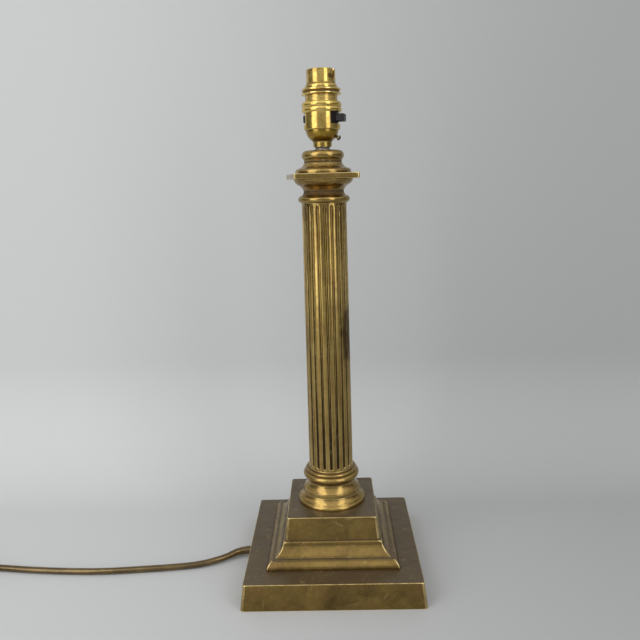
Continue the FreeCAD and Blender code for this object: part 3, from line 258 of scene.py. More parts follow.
def node_group(name, kind, inputs, build):
    """A node group. An input is a number with its usual value, or a kind of socket."""
    tree = bpy.data.node_groups.new(name, kind)
    for label, value in inputs.items():
        if isinstance(value, str):
            tree.interface.new_socket(label, in_out="INPUT", socket_type=value)
        else:
            tree.interface.new_socket(label, in_out="INPUT", socket_type="NodeSocketFloat").default_value = value
    graph = Graph(tree)
    made = build(graph, graph.named(tree.nodes.new("NodeGroupInput").outputs))
    for label in made:
        socket = "NodeSocketGeometry" if label == "Geometry" else "NodeSocketFloat"
        tree.interface.new_socket(label, in_out="OUTPUT", socket_type=socket)
    leave = tree.nodes.new("NodeGroupOutput")
    for label, value in made.items():
        graph.feed(leave.inputs[label], value)
    return tree


# ---------------------------------------------------------------- effects that the finishes share
def blotches(graph, given):
    """Ragged patches that cover an amount of the surface."""
    place = graph.place()
    wide = graph.noise(place, given["Scale"], 4.0, 0.6, 0.8)
    fine = graph.noise(place, given["Scale"] * 7.0, 3.0, 0.6)
    middle = 0.68 - given["Amount"] * 0.36
    return {"Mask": graph.ramp(wide * 0.72 + fine * 0.28, middle - given["Softness"], middle + given["Softness"])}


def edge_wear(graph, given):
    """Rubbed edges, and hollows filled with grime and painted shade, with crumbling borders."""
    place = graph.place()
    crumbs = graph.noise(place, given["Breakup"], 5.0, 0.7)
    drift = graph.noise(place, given["Breakup"] * 0.14, 2.0)
    ragged = crumbs * 0.9 + drift * 0.7 - 0.8
    start = 0.85 - given["Amount"]
    worn = graph.ramp(given["Edge"] + ragged * given["Raggedness"], start, start + 0.3)
    return {"Worn": worn, "Grime": graph.ramp(given["Recess"] + ragged * 0.5, 0.15, 0.75)}


def turning_lines(graph, given):
    """The fine rings that a lathe tool leaves about the upright axis."""
    x, y, z = graph.split(graph.place())
    radius = (x * x + y * y).by("SQRT")
    safe = radius.by("MAXIMUM", 0.0001)
    return {"Height": graph.noise(graph.joined(x / safe, y / safe, (z + radius) * given["Lines"]), 1.0, 3.0, 0.6)}


def scratches(graph, given):
    """Long thin scratches in three directions, in patches."""
    place, total = graph.place(), None
    for turn in ((12, 31, 8), (57, -22, 74), (-40, 68, -33)):
        laid = graph.moved(graph.moved(place, turn), scale=(0.05, 1.0, 0.07), shift=turn)
        line = graph.value("ShaderNodeTexVoronoi", {"Vector": laid, "Scale": given["Scale"]},
                           feature="DISTANCE_TO_EDGE")
        thin = graph.ramp(line, 0.0, given["Width"], 1.0, 0.0)
        mark = thin * graph.ramp(graph.noise(graph.moved(place, shift=turn), 55.0, 2.0), 0.58, 0.68)
        total = mark if total is None else total.by("MAXIMUM", mark)
    return {"Mask": total}


def specks(graph, given):
    """Small round spots on a share of the cells."""
    cells = graph.named(graph.add("ShaderNodeTexVoronoi", {"Vector": graph.place(), "Scale": given["Scale"]}).outputs)
    chosen = graph.value("ShaderNodeSeparateColor", {0: cells["Color"]}).by("LESS_THAN", given["Share"])
    return {"Mask": graph.ramp(cells["Distance"], 0.1, 0.32, 1.0, 0.0) * chosen}


BLOTCHES, WEAR, TURNING, SCRATCHES, SPECKS = (
    node_group(build.__name__, "ShaderNodeTree", inputs, build) for build, inputs in (
        (blotches, {"Scale": 40.0, "Amount": 0.5, "Softness": 0.08}),
        (edge_wear, {"Edge": 0.0, "Recess": 0.0, "Breakup": 420.0, "Amount": 0.4, "Raggedness": 0.6}),
        (turning_lines, {"Lines": 2600.0}),
        (scratches, {"Scale": 300.0, "Width": 0.02}),
        (specks, {"Scale": 420.0, "Share": 0.06}),
    )
)


# ---------------------------------------------------------------- finishes
def blank(name):
    """A new material, its graph and its surface shader."""
    finish = bpy.data.materials.new(name)
    finish.use_nodes = True
    return finish, Graph(finish.node_tree), finish.node_tree.nodes["Principled BSDF"]


def dress(graph, shader, colour, rough, height, depth, **fixed):
    """Connects a finish's colour, roughness and relief, and sets what is the same all over."""
    graph.feed(shader.inputs["Base Color"], colour)
    graph.feed(shader.inputs["Roughness"], rough)
    bump = graph.value("ShaderNodeBump", {"Strength": 1.0, "Distance": depth * MM, "Height": height})
    graph.feed(shader.inputs["Normal"], bump)
    for name, value in fixed.items():
        shader.inputs[name.replace("_", " ")].default_value = value


def metal(name, bright, clean, aged, dark, look, top_dust_and_shade=None, spill=None):
    """A metal that has tarnished in patches, rubbed bright on its edges, darker and duller on top with dust and
    painted shade, and dark in its corners with grime and painted shade.
    """
    finish, graph, shader = blank(name)
    place = graph.place()

    def patches(scale, amount, softness):
        return graph.use(BLOTCHES, scale=look["blotch"] * scale, amount=look[amount], softness=softness)["Mask"]

    patch = patches(1.0, "tarnish", look["soft"])
    stain, ruddy = patches(0.37, "stain", 0.14), patches(1.7, "ruddy", 0.16)
    streak = graph.noise(graph.moved(place, scale=(1, 1, 0.05)), 380.0, 2.0, 0.6)
    streak = graph.ramp(streak, 0.42, 0.68) * look["streaks"]
    wear = graph.use(WEAR, edge=graph.mark("edge"), recess=graph.mark("recess"), breakup=look["breakup"],
                     amount=look["wear"])
    worn, grime_and_shade = wear["Worn"], wear["Grime"]
    scratch = graph.use(SCRATCHES, scale=look["scratch"], width=0.02)["Mask"]
    speck = graph.use(SPECKS, scale=520.0, share=look["specks"])["Mask"]
    pit = graph.use(SPECKS, scale=900.0, share=look["specks"] * 1.5)["Mask"]
    tilt = graph.split(graph.value("ShaderNodeNewGeometry", output="Normal"))[2]
    # Upward faces get a darker, duller colour: dust with painted shade.
    top = graph.ramp(tilt, 0.84, 0.97) * look["top"]
    colour = graph.layered(clean, (patch, aged), (ruddy * 0.55, RUDDY), (streak, dark), (stain * 0.8, dark),
                           (top, top_dust_and_shade or dark))
    if spill:
        centre, size = spill
        away = graph.vectors("LENGTH", graph.vectors("DIVIDE", graph.vectors("SUBTRACT", place, centre), size))
        reach = away + graph.noise(place, 160.0, 3.0) * 0.7
        colour = graph.mix(graph.ramp(reach, 0.9, 1.4, 0.85, 0.0), colour, dark)
    # The hollows are darkened with grime and painted shade, as deep as the recess mark.
    colour = graph.layered(colour, (grime_and_shade * look["grime_and_shade"], dark), (pit * 0.7, dark), (worn, bright),
                           (scratch * 0.3, bright), (speck * 0.6, bright))
    rough = graph.between(patch, look["rough"], look["rough_aged"])
    rough = graph.between(grime_and_shade, rough, 0.62)
    rough = graph.between(top, rough, look["rough_aged"] + 0.06)
    rough = graph.between(worn, rough, look["rough"] * 0.85)
    grain = graph.noise(place, 700.0, 4.0, 0.65)
    rough = rough.by("ADD", (grain - 0.5) * 0.16, clamp=True)
    waves = graph.noise(place, look["waves"], 2.0) + graph.noise(place, look["waves"] * 3.3, 2.0) * 0.1
    lines = graph.use(TURNING, lines=look["lines"])["Height"]
    height = waves * look["wave_depth"] + lines * look["line_depth"] + grain * look["grain"]
    dress(graph, shader, colour, rough, height - scratch * look["groove"] - pit * 0.02, 1.0, Metallic=1.0)
    metallic = graph.between(grime_and_shade, graph.between(top, 1.0, 0.3), 0.55)
    graph.feed(shader.inputs["Metallic"], graph.between(worn, metallic, 1.0))
    return finish


def moulded(name, colour, shade, rough, grain_scale, grain, **changes):
    """A moulded or sawn material with a fine grain, slight clouds of a darker tone, rubbed edges, and dust with
    painted shade in its hollows.
    """
    finish, graph, shader = blank(name)
    look = {"specks": 0.05, "stretch": (1, 1, 1), "grain_tint": 0.25, "rubbed": shade, "speck": shade, "fixed": {}}
    look.update(changes)
    cloud = graph.use(BLOTCHES, scale=60.0, amount=0.5, softness=0.2)["Mask"]
    wear = graph.use(WEAR, edge=graph.mark("edge"), recess=graph.mark("recess"), breakup=500.0, amount=0.25)
    speck = graph.use(SPECKS, scale=700.0, share=look["specks"])["Mask"]
    scratch = graph.use(SCRATCHES, scale=400.0, width=0.02)["Mask"]
    fine = graph.noise(graph.moved(graph.place(), scale=look["stretch"]), grain_scale, 4.0, 0.6)
    tint = graph.layered(colour, (cloud * 0.6, shade), (graph.ramp(fine, 0.45, 0.75) * look["grain_tint"], shade),
                         # Hollows are darkened with dust and painted shade.
                         (wear["Grime"] * 0.5, DUST_AND_SHADE), (wear["Worn"] * 0.5, look["rubbed"]),
                         (speck * 0.5, look["speck"]))
    gloss = (fine - 0.5) * 0.25 + rough
    gloss = gloss.by("ADD", scratch * 0.15, clamp=True)
    dress(graph, shader, tint, gloss, fine * grain - scratch * 0.02, 1.0, **look["fixed"])
    return finish


# The second colour is dust with painted shade for moulded hollows; the third is dust with painted shade for the tops
# of metal.
RUDDY, DUST_AND_SHADE, TOP_DUST_AND_SHADE = (0.25, 0.13, 0.055), (0.05, 0.04, 0.03), (0.092, 0.069, 0.043)
SHAFT_STAIN = ((0.0185, -0.0085, 0.232), (0.011, 0.011, 0.034))
AGED_LOOK = {
    "blotch": 32.0, "tarnish": 0.5, "soft": 0.24, "stain": 0.16, "ruddy": 0.35, "streaks": 0.0, "breakup": 620.0,
    "wear": 0.4, "scratch": 260.0, "specks": 0.03, "top": 0.85, "grime_and_shade": 0.95, "rough": 0.2, "rough_aged": 0.28,
    "waves": 55.0, "wave_depth": 1.1, "lines": 1500.0, "line_depth": 0.006, "grain": 0.02, "groove": 0.02,
}
TURNED_LOOK = {**AGED_LOOK, "blotch": 44.0, "stain": 0.12, "wear": 0.32, "top": 0.45, "rough": 0.17,
               "rough_aged": 0.24, "wave_depth": 0.5}
SHAFT_LOOK = {**AGED_LOOK, "blotch": 26.0, "stain": 0.1, "wear": 0.34, "top": 0.3, "grime_and_shade": 1.0, "rough": 0.14,
              "rough_aged": 0.22, "wave_depth": 0.3, "streaks": 0.35, "breakup": 380.0}
HOLDER_LOOK = {
    "blotch": 90.0, "tarnish": 0.35, "soft": 0.16, "stain": 0.1, "ruddy": 0.2, "streaks": 0.0, "breakup": 900.0,
    "wear": 0.25, "scratch": 500.0, "specks": 0.02, "top": 0.2, "grime_and_shade": 0.9, "rough": 0.15, "rough_aged": 0.22,
    "waves": 90.0, "wave_depth": 0.06, "lines": 3000.0, "line_depth": 0.004, "grain": 0.006, "groove": 0.012,
}
STEEL_LOOK = {
    "blotch": 150.0, "tarnish": 0.5, "soft": 0.14, "stain": 0.12, "ruddy": 0.1, "streaks": 0.0, "breakup": 700.0,
    "wear": 0.3, "scratch": 400.0, "specks": 0.05, "top": 0.1, "grime_and_shade": 0.8, "rough": 0.28, "rough_aged": 0.42,
    "waves": 120.0, "wave_depth": 0.04, "lines": 2600.0, "line_depth": 0.008, "grain": 0.012, "groove": 0.02,
}
BASE_BRASS = metal("base_brass", (0.66, 0.5, 0.22), (0.33, 0.225, 0.066), (0.17, 0.115, 0.04),
                   (0.07, 0.045, 0.018), AGED_LOOK, TOP_DUST_AND_SHADE)
TURNED_BRASS = metal("turned_brass", (0.68, 0.53, 0.24), (0.44, 0.31, 0.095), (0.28, 0.185, 0.06),
                     (0.055, 0.03, 0.01), TURNED_LOOK, TOP_DUST_AND_SHADE)
# The shaft's near-black dark colour fills its grooves: painted shade as well as grime.
SHAFT_BRASS = metal("shaft_brass", (0.72, 0.57, 0.26), (0.52, 0.38, 0.125), (0.34, 0.23, 0.07),
                    (0.04, 0.02, 0.005), SHAFT_LOOK, TOP_DUST_AND_SHADE, SHAFT_STAIN)
HOLDER_BRASS = metal("lampholder_brass", (0.9, 0.72, 0.3), (0.8, 0.58, 0.165), (0.55, 0.37, 0.09),
                     (0.1, 0.06, 0.02), HOLDER_LOOK)
CUP_BRASS = metal("cup_brass", (0.74, 0.56, 0.2), (0.46, 0.3, 0.055), (0.3, 0.19, 0.03),
                  (0.08, 0.05, 0.015), {**HOLDER_LOOK, "rough": 0.2, "rough_aged": 0.3, "tarnish": 0.6})
CONTACT_BRASS = metal("contact_brass", (0.85, 0.7, 0.36), (0.75, 0.6, 0.28), (0.55, 0.4, 0.16),
                      (0.16, 0.11, 0.05), {**HOLDER_LOOK, "rough": 0.2})
ZINC_STEEL = metal("zinc_steel", (0.72, 0.72, 0.7), (0.52, 0.52, 0.5), (0.36, 0.36, 0.34),
                   (0.12, 0.11, 0.1), STEEL_LOOK)
SPRING_STEEL = metal("spring_steel", (0.75, 0.75, 0.74), (0.62, 0.62, 0.63), (0.45, 0.44, 0.42),
                     (0.16, 0.14, 0.12), {**STEEL_LOOK, "rough": 0.2, "rough_aged": 0.3})
DARK_SCREW = metal("browned_screw", (0.5, 0.4, 0.22), (0.1, 0.08, 0.05), (0.05, 0.04, 0.03),
                   (0.02, 0.018, 0.015), {**STEEL_LOOK, "rough": 0.22, "rough_aged": 0.35})
BAKELITE = moulded("bakelite", (0.008, 0.006, 0.006), (0.014, 0.01, 0.008), 0.32, 900.0, 0.004,
                   speck=(0.04, 0.03, 0.02), rubbed=(0.03, 0.024, 0.02), fixed={"Specular_IOR_Level": 0.3})
BUSH_RUBBER = moulded("black_bush", (0.02, 0.02, 0.02), (0.035, 0.034, 0.032), 0.55, 1200.0, 0.01)
FIBRE_BOARD = moulded("fibre_board", (0.3, 0.2, 0.11), (0.19, 0.12, 0.06), 0.8, 260.0, 0.05,
                      stretch=(1, 6, 1), grain_tint=0.8, specks=0.2, speck=(0.12, 0.08, 0.05))
PLUG_PLASTIC = moulded("plug_plastic", (0.8, 0.78, 0.72), (0.72, 0.69, 0.61), 0.36, 1500.0, 0.008,
                       rubbed=(0.86, 0.85, 0.82), speck=(0.45, 0.4, 0.32), specks=0.015)
FUSE_CERAMIC = moulded("fuse_ceramic", (0.82, 0.8, 0.74), (0.72, 0.7, 0.64), 0.45, 900.0, 0.01)
CLAMP_FIBRE = moulded("clamp_fibre", (0.35, 0.17, 0.07), (0.22, 0.1, 0.05), 0.6, 500.0, 0.02,
                      stretch=(1, 5, 1), grain_tint=0.7)
BROWN_SLEEVE = moulded("brown_sleeve", (0.16, 0.06, 0.025), (0.1, 0.04, 0.02), 0.35, 1500.0, 0.004)
BLUE_SLEEVE = moulded("blue_sleeve", (0.04, 0.13, 0.42), (0.03, 0.09, 0.3), 0.35, 1500.0, 0.004)


def flex_finish():
    """Gold plastic sheath: pearly flakes, slight swells, scuffs and a browner shade where it has been handled."""
    finish, graph, shader = blank("gold_flex")
    place = graph.place()
    cloud = graph.use(BLOTCHES, scale=34.0, amount=0.5, softness=0.16)["Mask"]
    flakes = graph.noise(place, 2600.0, 2.0, 0.7)
    streaks = graph.noise(graph.moved(place, scale=(1, 6, 6)), 120.0, 3.0, 0.6)
    speck = graph.use(SPECKS, scale=380.0, share=0.03)["Mask"]
    colour = graph.layered(
        (0.165, 0.108, 0.037), (cloud, (0.092, 0.058, 0.019)),
        (graph.ramp(flakes, 0.45, 0.75, 0.0, 0.2), (0.34, 0.24, 0.09)),
        (graph.ramp(streaks, 0.52, 0.75, 0.0, 0.3), (0.13, 0.085, 0.035)), (speck * 0.6, (0.05, 0.035, 0.02)),
    )
    rough = graph.ramp(graph.noise(place, 160.0, 3.0), 0.3, 0.7, 0.12, 0.28)
    height = graph.noise(place, 85.0, 2.0) * 0.35 + flakes * 0.003
    dress(graph, shader, colour, rough, height, 1.0, Metallic=0.85, Coat_Weight=0.5, Coat_Roughness=0.16)
    return finish


def baize_finish():
    """Green felt: short tangled fibres, pressed flat in patches, with a soft sheen and some lint."""
    finish, graph, shader = blank("baize")
    place = graph.place()
    fibres = graph.noise(graph.moved(place, (0, 0, 25), (1, 3.5, 1)), 1500.0, 5.0, 0.7, 1.5)
    cross = graph.noise(graph.moved(place, (0, 0, -40), (3.5, 1, 1)), 1400.0, 5.0, 0.7, 1.5)
    felt = (fibres + cross) * 0.5
    worn = graph.use(BLOTCHES, scale=24.0, amount=0.35, softness=0.12)["Mask"]
    lint = graph.use(SPECKS, scale=260.0, share=0.05)["Mask"]
    colour = graph.layered((0.025, 0.1, 0.045), (graph.ramp(felt, 0.4, 0.65), (0.07, 0.22, 0.1)),
                           (worn * 0.5, (0.09, 0.18, 0.085)), (lint * 0.5, (0.3, 0.3, 0.25)))
    dress(graph, shader, colour, graph.ramp(felt, 0.3, 0.7, 0.85, 1.0), felt, 0.18, Sheen_Weight=0.5,
          Sheen_Roughness=0.4)
    return finish


PLUG_FACE, SLEEVE_LENGTH = 19.5, 9.5


def pin_finish():
    """Brass pins that are sleeved in black plastic over the half next to the plug."""
    finish, graph, shader = blank("sleeved_pins")
    height = graph.split(graph.place())[2]
    sleeve = height.by("LESS_THAN", (PLUG_FACE + SLEEVE_LENGTH) * MM)
    grain = graph.noise(graph.place(), 900.0, 4.0, 0.6)
    rubbed = graph.use(SCRATCHES, scale=500.0, width=0.03)["Mask"]
    colour = graph.layered((0.74, 0.58, 0.27), (graph.ramp(grain, 0.4, 0.7), (0.55, 0.4, 0.17)),
                           (rubbed, (0.88, 0.76, 0.45)), (sleeve, (0.02, 0.02, 0.02)))
    dress(graph, shader, colour, graph.between(sleeve, 0.22, 0.4) + grain * 0.1, grain - rubbed, 0.01)
    graph.feed(shader.inputs["Metallic"], 1.0 - sleeve)
    return finish


GOLD_FLEX, BAIZE, SLEEVED_PINS = flex_finish(), baize_finish(), pin_finish()


# ---------------------------------------------------------------- outlines
SHARP = math.radians(17)
EASE_STEPS = 4
AXIS = 0.01
RUN_POINTS, SHORT_RUN, LONG_STEP = (0.35, 0.9, 1.8, 3.4), 0.9, 7.0
EVEN_GAP, OUTLINE_BLUR = 0.08, 0.3
EDGE_SPREAD, EDGE_FULL = 0.5, 0.2
RECESS_START, RECESS_SHARE = 0.05, 0.36


def arc_points(start, end, radius):
    """Points after start and before end on an arc: round outwards for a positive radius, hollow for a negative one."""
    (ax, az), (bx, bz) = start, end
    span, side = math.hypot(bx - ax, bz - az), math.copysign(1, radius)
    rise = math.sqrt(max(radius * radius - span * span / 4, 0.0))
    cx = (ax + bx) / 2 - side * rise * (bz - az) / span
    cz = (az + bz) / 2 + side * rise * (bx - ax) / span
    first, last = math.atan2(az - cz, ax - cx), math.atan2(bz - cz, bx - cx)
    sweep = (last - first) % (2 * math.pi)
    if side < 0:
        sweep -= 2 * math.pi
    steps = max(3, math.ceil(abs(sweep) / math.radians(8)))
    size = abs(radius)
    angles = [first + sweep * step / steps for step in range(1, steps)]
    return [(cx + size * math.cos(angle), cz + size * math.sin(angle)) for angle in angles]


def eased(points, ease):
    """The closed outline with its sharp corners rounded."""
    soft, count = [], len(points)
    for index in range(count):
        before, here, after = (Vector(points[(index + step) % count]) for step in (-1, 0, 1))
        inward, outward = here - before, after - here
        turn = abs(inward.angle_signed(outward, 0.0))
        if turn < SHARP or here.x < AXIS:
            soft.append(tuple(here))
            continue
        reach = min(ease * math.tan(turn / 2), 0.42 * inward.length, 0.42 * outward.length)
        start, end = here - inward.normalized() * reach, here + outward.normalized() * reach
        for step in range(EASE_STEPS + 1):
            share = step / EASE_STEPS
            soft.append(tuple(start.lerp(here, share).lerp(here.lerp(end, share), share)))
    return soft


def filled(points):
    """The closed outline with more points on its long runs, closest together near their ends."""
    dense = []
    for start, end in zip(points, points[1:] + points[:1]):
        dense.append(start)
        a, b = Vector(start), Vector(end)
        length = (b - a).length
        if length < SHORT_RUN or (a.x < AXIS and b.x < AXIS):
            continue
        near = [reach for reach in RUN_POINTS if reach < length * 0.45]
        inner = length - 2 * near[-1]
        parts = max(1, math.ceil(inner / LONG_STEP))
        middle = [near[-1] + inner * part / parts for part in range(1, parts)]
        for reach in near + middle + [length - reach for reach in reversed(near)]:
            dense.append(tuple(a.lerp(b, reach / length)))
    return dense


def outline(corners, ease=0.25):
    """A closed outline of (radius, height) points. A corner's third number is the radius of the arc that leaves it."""
    points = []
    for (x, z, *radius), (next_x, next_z, *_) in zip(corners, corners[1:] + corners[:1]):
        points.append((x, z))
        if radius:
            points += arc_points((x, z), (next_x, next_z), radius[0])
    return filled(eased(points, ease))


def exposure(points, hollow=1.8):
    """How proud each point of a closed outline stands, and how deep it lies, both from 0 to 1."""
    line = np.array(points + points[:1])
    along = np.concatenate([[0], np.cumsum(np.hypot(*np.diff(line, axis=0).T))])
    count = int(along[-1] / EVEN_GAP)
    step = along[-1] / count
    even = np.arange(count) * step
    x, z = np.interp(even, along, line[:, 0]), np.interp(even, along, line[:, 1])
    waves = np.fft.rfftfreq(count, step)

    def smooth(values, spread):
        return np.fft.irfft(np.fft.rfft(values) * np.exp(-2 * (math.pi * waves * spread) ** 2), count)

    soft_x, soft_z = smooth(x, OUTLINE_BLUR), smooth(z, OUTLINE_BLUR)
    run_x, run_z = np.gradient(soft_x), np.gradient(soft_z)
    run = np.maximum(np.hypot(run_x, run_z), 1e-9)
    out_x, out_z = run_z / run, -run_x / run

    def proud(spread):
        return (x - smooth(x, spread)) * out_x + (z - smooth(z, spread)) * out_z

    edge = np.clip(proud(EDGE_SPREAD) / EDGE_FULL, 0, 1)
    recess = np.clip((-proud(hollow) - RECESS_START) / (hollow * RECESS_SHARE), 0, 1)
    return np.interp(along[:-1], even, edge), np.interp(along[:-1], even, recess)


# ---------------------------------------------------------------- meshes
def mesh_piece(name, points, faces, finish, marks=None):
    """A closed mesh in millimetres, made an object at the origin, with its wear marks on its points."""
    mesh = bpy.data.meshes.new(name)
    mesh.from_pydata([tuple(float(value) * MM for value in point) for point in points], [], faces)
    for label, values in (marks or {}).items():
        mark = mesh.attributes.new(label, "FLOAT", "POINT")
        mark.data.foreach_set("value", np.asarray(values, dtype=np.float32))
    mesh.materials.append(finish)
    piece = bpy.data.objects.new(name, mesh)
    SCENE.collection.objects.link(piece)
    return piece


def settled(piece):
    """The piece with its modifiers worked into a plain mesh."""
    bpy.context.view_layer.update()
    graph = bpy.context.evaluated_depsgraph_get()
    mesh = bpy.data.meshes.new_from_object(piece.evaluated_get(graph), preserve_all_data_layers=True, depsgraph=graph)
    piece.modifiers.clear()
    old, piece.data = piece.data, mesh
    bpy.data.meshes.remove(old)
    mesh.name = piece.name
    return piece


def smoothed(piece, angle=38.0):
    """Welds the piece, turns its faces outwards and shades it smooth, with its flat faces kept flat."""
    body = bmesh.new()
    body.from_mesh(piece.data)
    bmesh.ops.remove_doubles(body, verts=body.verts, dist=0.002 * MM)
    bmesh.ops.recalc_face_normals(body, faces=body.faces)
    body.to_mesh(piece.data)
    body.free()
    piece.data.shade_smooth()
    piece.data.set_sharp_from_angle(angle=math.radians(angle))
    even = piece.modifiers.new("even_shading", "WEIGHTED_NORMAL")
    even.mode, even.weight, even.keep_sharp, even.thresh = "FACE_AREA", 50, True, 0.01
    return settled(piece)


def bands(rings, around, closed=True):
    """The faces between rings of points that follow each other in one list, with as many points in each."""
    faces = []
    for ring in range(rings if closed else rings - 1):
        low, high = ring * around, (ring + 1) % rings * around
        for step in range(around):
            after = (step + 1) % around
            faces.append((low + step, low + after, high + after, high + step))
    return faces


def turned(name, seat, corners, finish, ease=0.25, segments=144, place=None, inside=0.0, polished=-99.0):
    """A piece turned about its own axis from its closed outline, with painted shade inside a radius and rubbed below a
    height.
    """
    points = outline(corners, ease)
    edge, recess = exposure(points)
    # Points inside the given radius are marked as deep hollows, so bores and inner walls get painted shade.
    recess = [max(value, 0.85) if radius < inside else value for (radius, _), value in zip(points, recess)]
    edge = [max(value, 0.7) if height < polished else value for (_, height), value in zip(points, edge)]
    angles = [2 * math.pi * step / segments for step in range(segments)]
    vertices, rows, marks = [], [], {"edge": [], "recess": []}
    for index, (radius, height) in enumerate(points):
        ring = [0.0] if radius < AXIS else angles
        rows.append([len(vertices) + step for step in range(len(ring))] * (segments // len(ring)))
        vertices += [Vector((radius * math.cos(a), radius * math.sin(a), height + seat)) for a in ring]
        marks["edge"] += [edge[index]] * len(ring)
        marks["recess"] += [recess[index]] * len(ring)
    faces = []
    for low, high in zip(rows, rows[1:] + rows[:1]):
        for step in range(segments):
            after = (step + 1) % segments
            corner = list(dict.fromkeys((low[step], low[after], high[after], high[step])))
            if len(corner) > 2:
                faces.append(corner)
    if place is not None:
        vertices = [place @ vertex for vertex in vertices]
    return mesh_piece(name, vertices, faces, finish, marks)


SIDE_POINTS = (0.35, 0.9, 1.8, 3.4, 6.0, 10.0)
CORNER_STEPS = 6
SIDE_STEPS = 14
CORNER_REACH = 1.1


def side_points(length):
    """Where the points of one half side lie, closest together next to the corner."""
    gaps = [min(gap, length * 0.06 * (order + 1)) for order, gap in enumerate(SIDE_POINTS)]
    rest = SIDE_STEPS - len(gaps)
    first = length - gaps[-1]
    return [first * step / rest for step in range(rest)] + [length - gap for gap in reversed(gaps)]


def loop(half_x, half_y, corner):
    """One rounded rectangle of points, and how near each is to a corner. A full corner makes a circle."""
    points, nearness = [], []
    steps = SIDE_STEPS * 2 + CORNER_STEPS
    for quarter in range(4):
        a, b = (half_x, half_y) if quarter % 2 == 0 else (half_y, half_x)
        if corner > 0.9 * min(a, b):
            angles = [math.pi / 2 * step / steps for step in range(steps)]
            local = [(a * math.cos(angle), a * math.sin(angle)) for angle in angles]
            near = [0.0] * steps
        else:
            up, back = side_points(b - corner), side_points(a - corner)
            local = [(a, value) for value in up]
            near = [math.exp(-(b - corner - value) / CORNER_REACH) for value in up]
            for step in range(CORNER_STEPS + 1):
                angle = math.pi / 2 * step / CORNER_STEPS
                local.append((a - corner + corner * math.cos(angle), b - corner + corner * math.sin(angle)))
                near.append(1.0)
            tail = list(reversed(back))[:-1]
            local += [(value, b) for value in tail]
            near += [math.exp(-(a - corner - value) / CORNER_REACH) for value in tail]
        turn = quarter * math.pi / 2
        points += [(x * math.cos(turn) - y * math.sin(turn), x * math.sin(turn) + y * math.cos(turn))
                   for x, y in local]
        nearness += near
    return points, nearness


def lofted(name, sections, finish, closed=True, place=None, corner_wear=0.8):
    """A piece lofted through rounded rectangles (half x, half y, corner, height, edge, recess)."""
    vertices, marks = [], {"edge": [], "recess": []}
    for index, (half_x, half_y, corner, height, edge, recess) in enumerate(sections):
        points, near = loop(half_x, half_y, corner)
        around = [sections[max(index - 1, 0)], sections[min(index + 1, len(sections) - 1)]]
        level = max(abs(side[0] - half_x) > 2 * abs(side[3] - height) for side in around)
        near = [0.0 if level else value for value in near]
        vertices += [Vector((x, y, height)) for x, y in points]
        marks["edge"] += [min(1.0, edge + corner_wear * value * (1 - recess)) for value in near]
        marks["recess"] += [recess * (1 - 0.6 * value) for value in near]
    faces = bands(len(sections), len(points), closed)
    if not closed:
        faces += [tuple(reversed(range(len(points)))), tuple(range(len(vertices) - len(points), len(vertices)))]
    if place is not None:
        vertices = [place @ vertex for vertex in vertices]
    return mesh_piece(name, vertices, faces, finish, marks)


def sector(name, inner, outer, low, high, first, last, finish, steps=24):
    """A sector of a thick ring, its angles in degrees."""
    vertices = []
    for step in range(steps + 1):
        angle = math.radians(first + (last - first) * step / steps)
        for radius, height in ((inner, low), (outer, low), (outer, high), (inner, high)):
            vertices.append((radius * math.cos(angle), radius * math.sin(angle), height))
    faces = bands(steps + 1, 4, closed=False) + [(3, 2, 1, 0), tuple(range(steps * 4, steps * 4 + 4))]
    return mesh_piece(name, vertices, faces, finish)


def cut(piece, cutters):
    """Cuts the cutters out of a piece and does away with them."""
    for cutter in cutters:
        body = bmesh.new()
        body.from_mesh(cutter.data)
        bmesh.ops.recalc_face_normals(body, faces=body.faces)
        body.to_mesh(cutter.data)
        body.free()
        take = piece.modifiers.new("cut", "BOOLEAN")
        take.operation, take.solver, take.object = "DIFFERENCE", "EXACT", cutter
    settled(piece)
    for cutter in cutters:
        bpy.data.objects.remove(cutter)
    return piece


def softened(node, name, finish, width, segments):
    """A copy of a CAD node, welded, with its sharp edges rounded over."""
    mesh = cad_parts[node].data.copy()
    mesh.materials.clear()
    mesh.materials.append(finish)
    piece = bpy.data.objects.new(name, mesh)
    SCENE.collection.objects.link(piece)
    body = bmesh.new()
    body.from_mesh(mesh)
    bmesh.ops.remove_doubles(body, verts=body.verts, dist=0.003 * MM)
    bmesh.ops.dissolve_limit(body, angle_limit=math.radians(0.6), verts=body.verts, edges=body.edges)
    body.to_mesh(mesh)
    body.free()
    soft = piece.modifiers.new("soft_edges", "BEVEL")
    soft.width, soft.segments, soft.limit_method = width * MM, segments, "ANGLE"
    soft.angle_limit, soft.use_clamp_overlap = math.radians(32), True
    return smoothed(settled(piece))


# ---------------------------------------------------------------- shapes that follow a rule
def finished(graph, geometry, finish):
    """The geometry made real, with a finish on it."""
    real = graph.value("GeometryNodeRealizeInstances", {"Geometry": geometry})
    return {"Geometry": graph.value("GeometryNodeSetMaterial", {"Geometry": real, "Material": finish})}


def rule_tree(name, inputs, rule):
    """A Geometry Nodes tree that moves a piece's points towards its axis by a rule and marks their wear."""
    def build(graph, given):
        x, y, z = graph.split(graph.value("GeometryNodeInputPosition"))
        radius = (x * x + y * y).by("SQRT")
        depth, edge, recess = rule(given, radius, y.by("ARCTAN2", x), z)
        share = depth * -1.0 / radius.by("MAXIMUM", 0.0001)
        shift = graph.joined(x * share, y * share)
        moved = graph.value("GeometryNodeSetPosition", {"Geometry": given["Geometry"], "Offset": shift})
        for label, value in (("edge", edge), ("recess", recess)):
            kept = graph.value("GeometryNodeInputNamedAttribute", {"Name": label})
            moved = graph.value("GeometryNodeStoreNamedAttribute", {
                "Geometry": moved, "Name": label, "Value": kept.by("MAXIMUM", value),
            }, data_type="FLOAT", domain="POINT")
        return finished(graph, moved, given["Finish"])

    inputs = {"Geometry": "NodeSocketGeometry", **inputs, "Finish": "NodeSocketMaterial"}
    return node_group(name, "GeometryNodeTree", inputs, build)


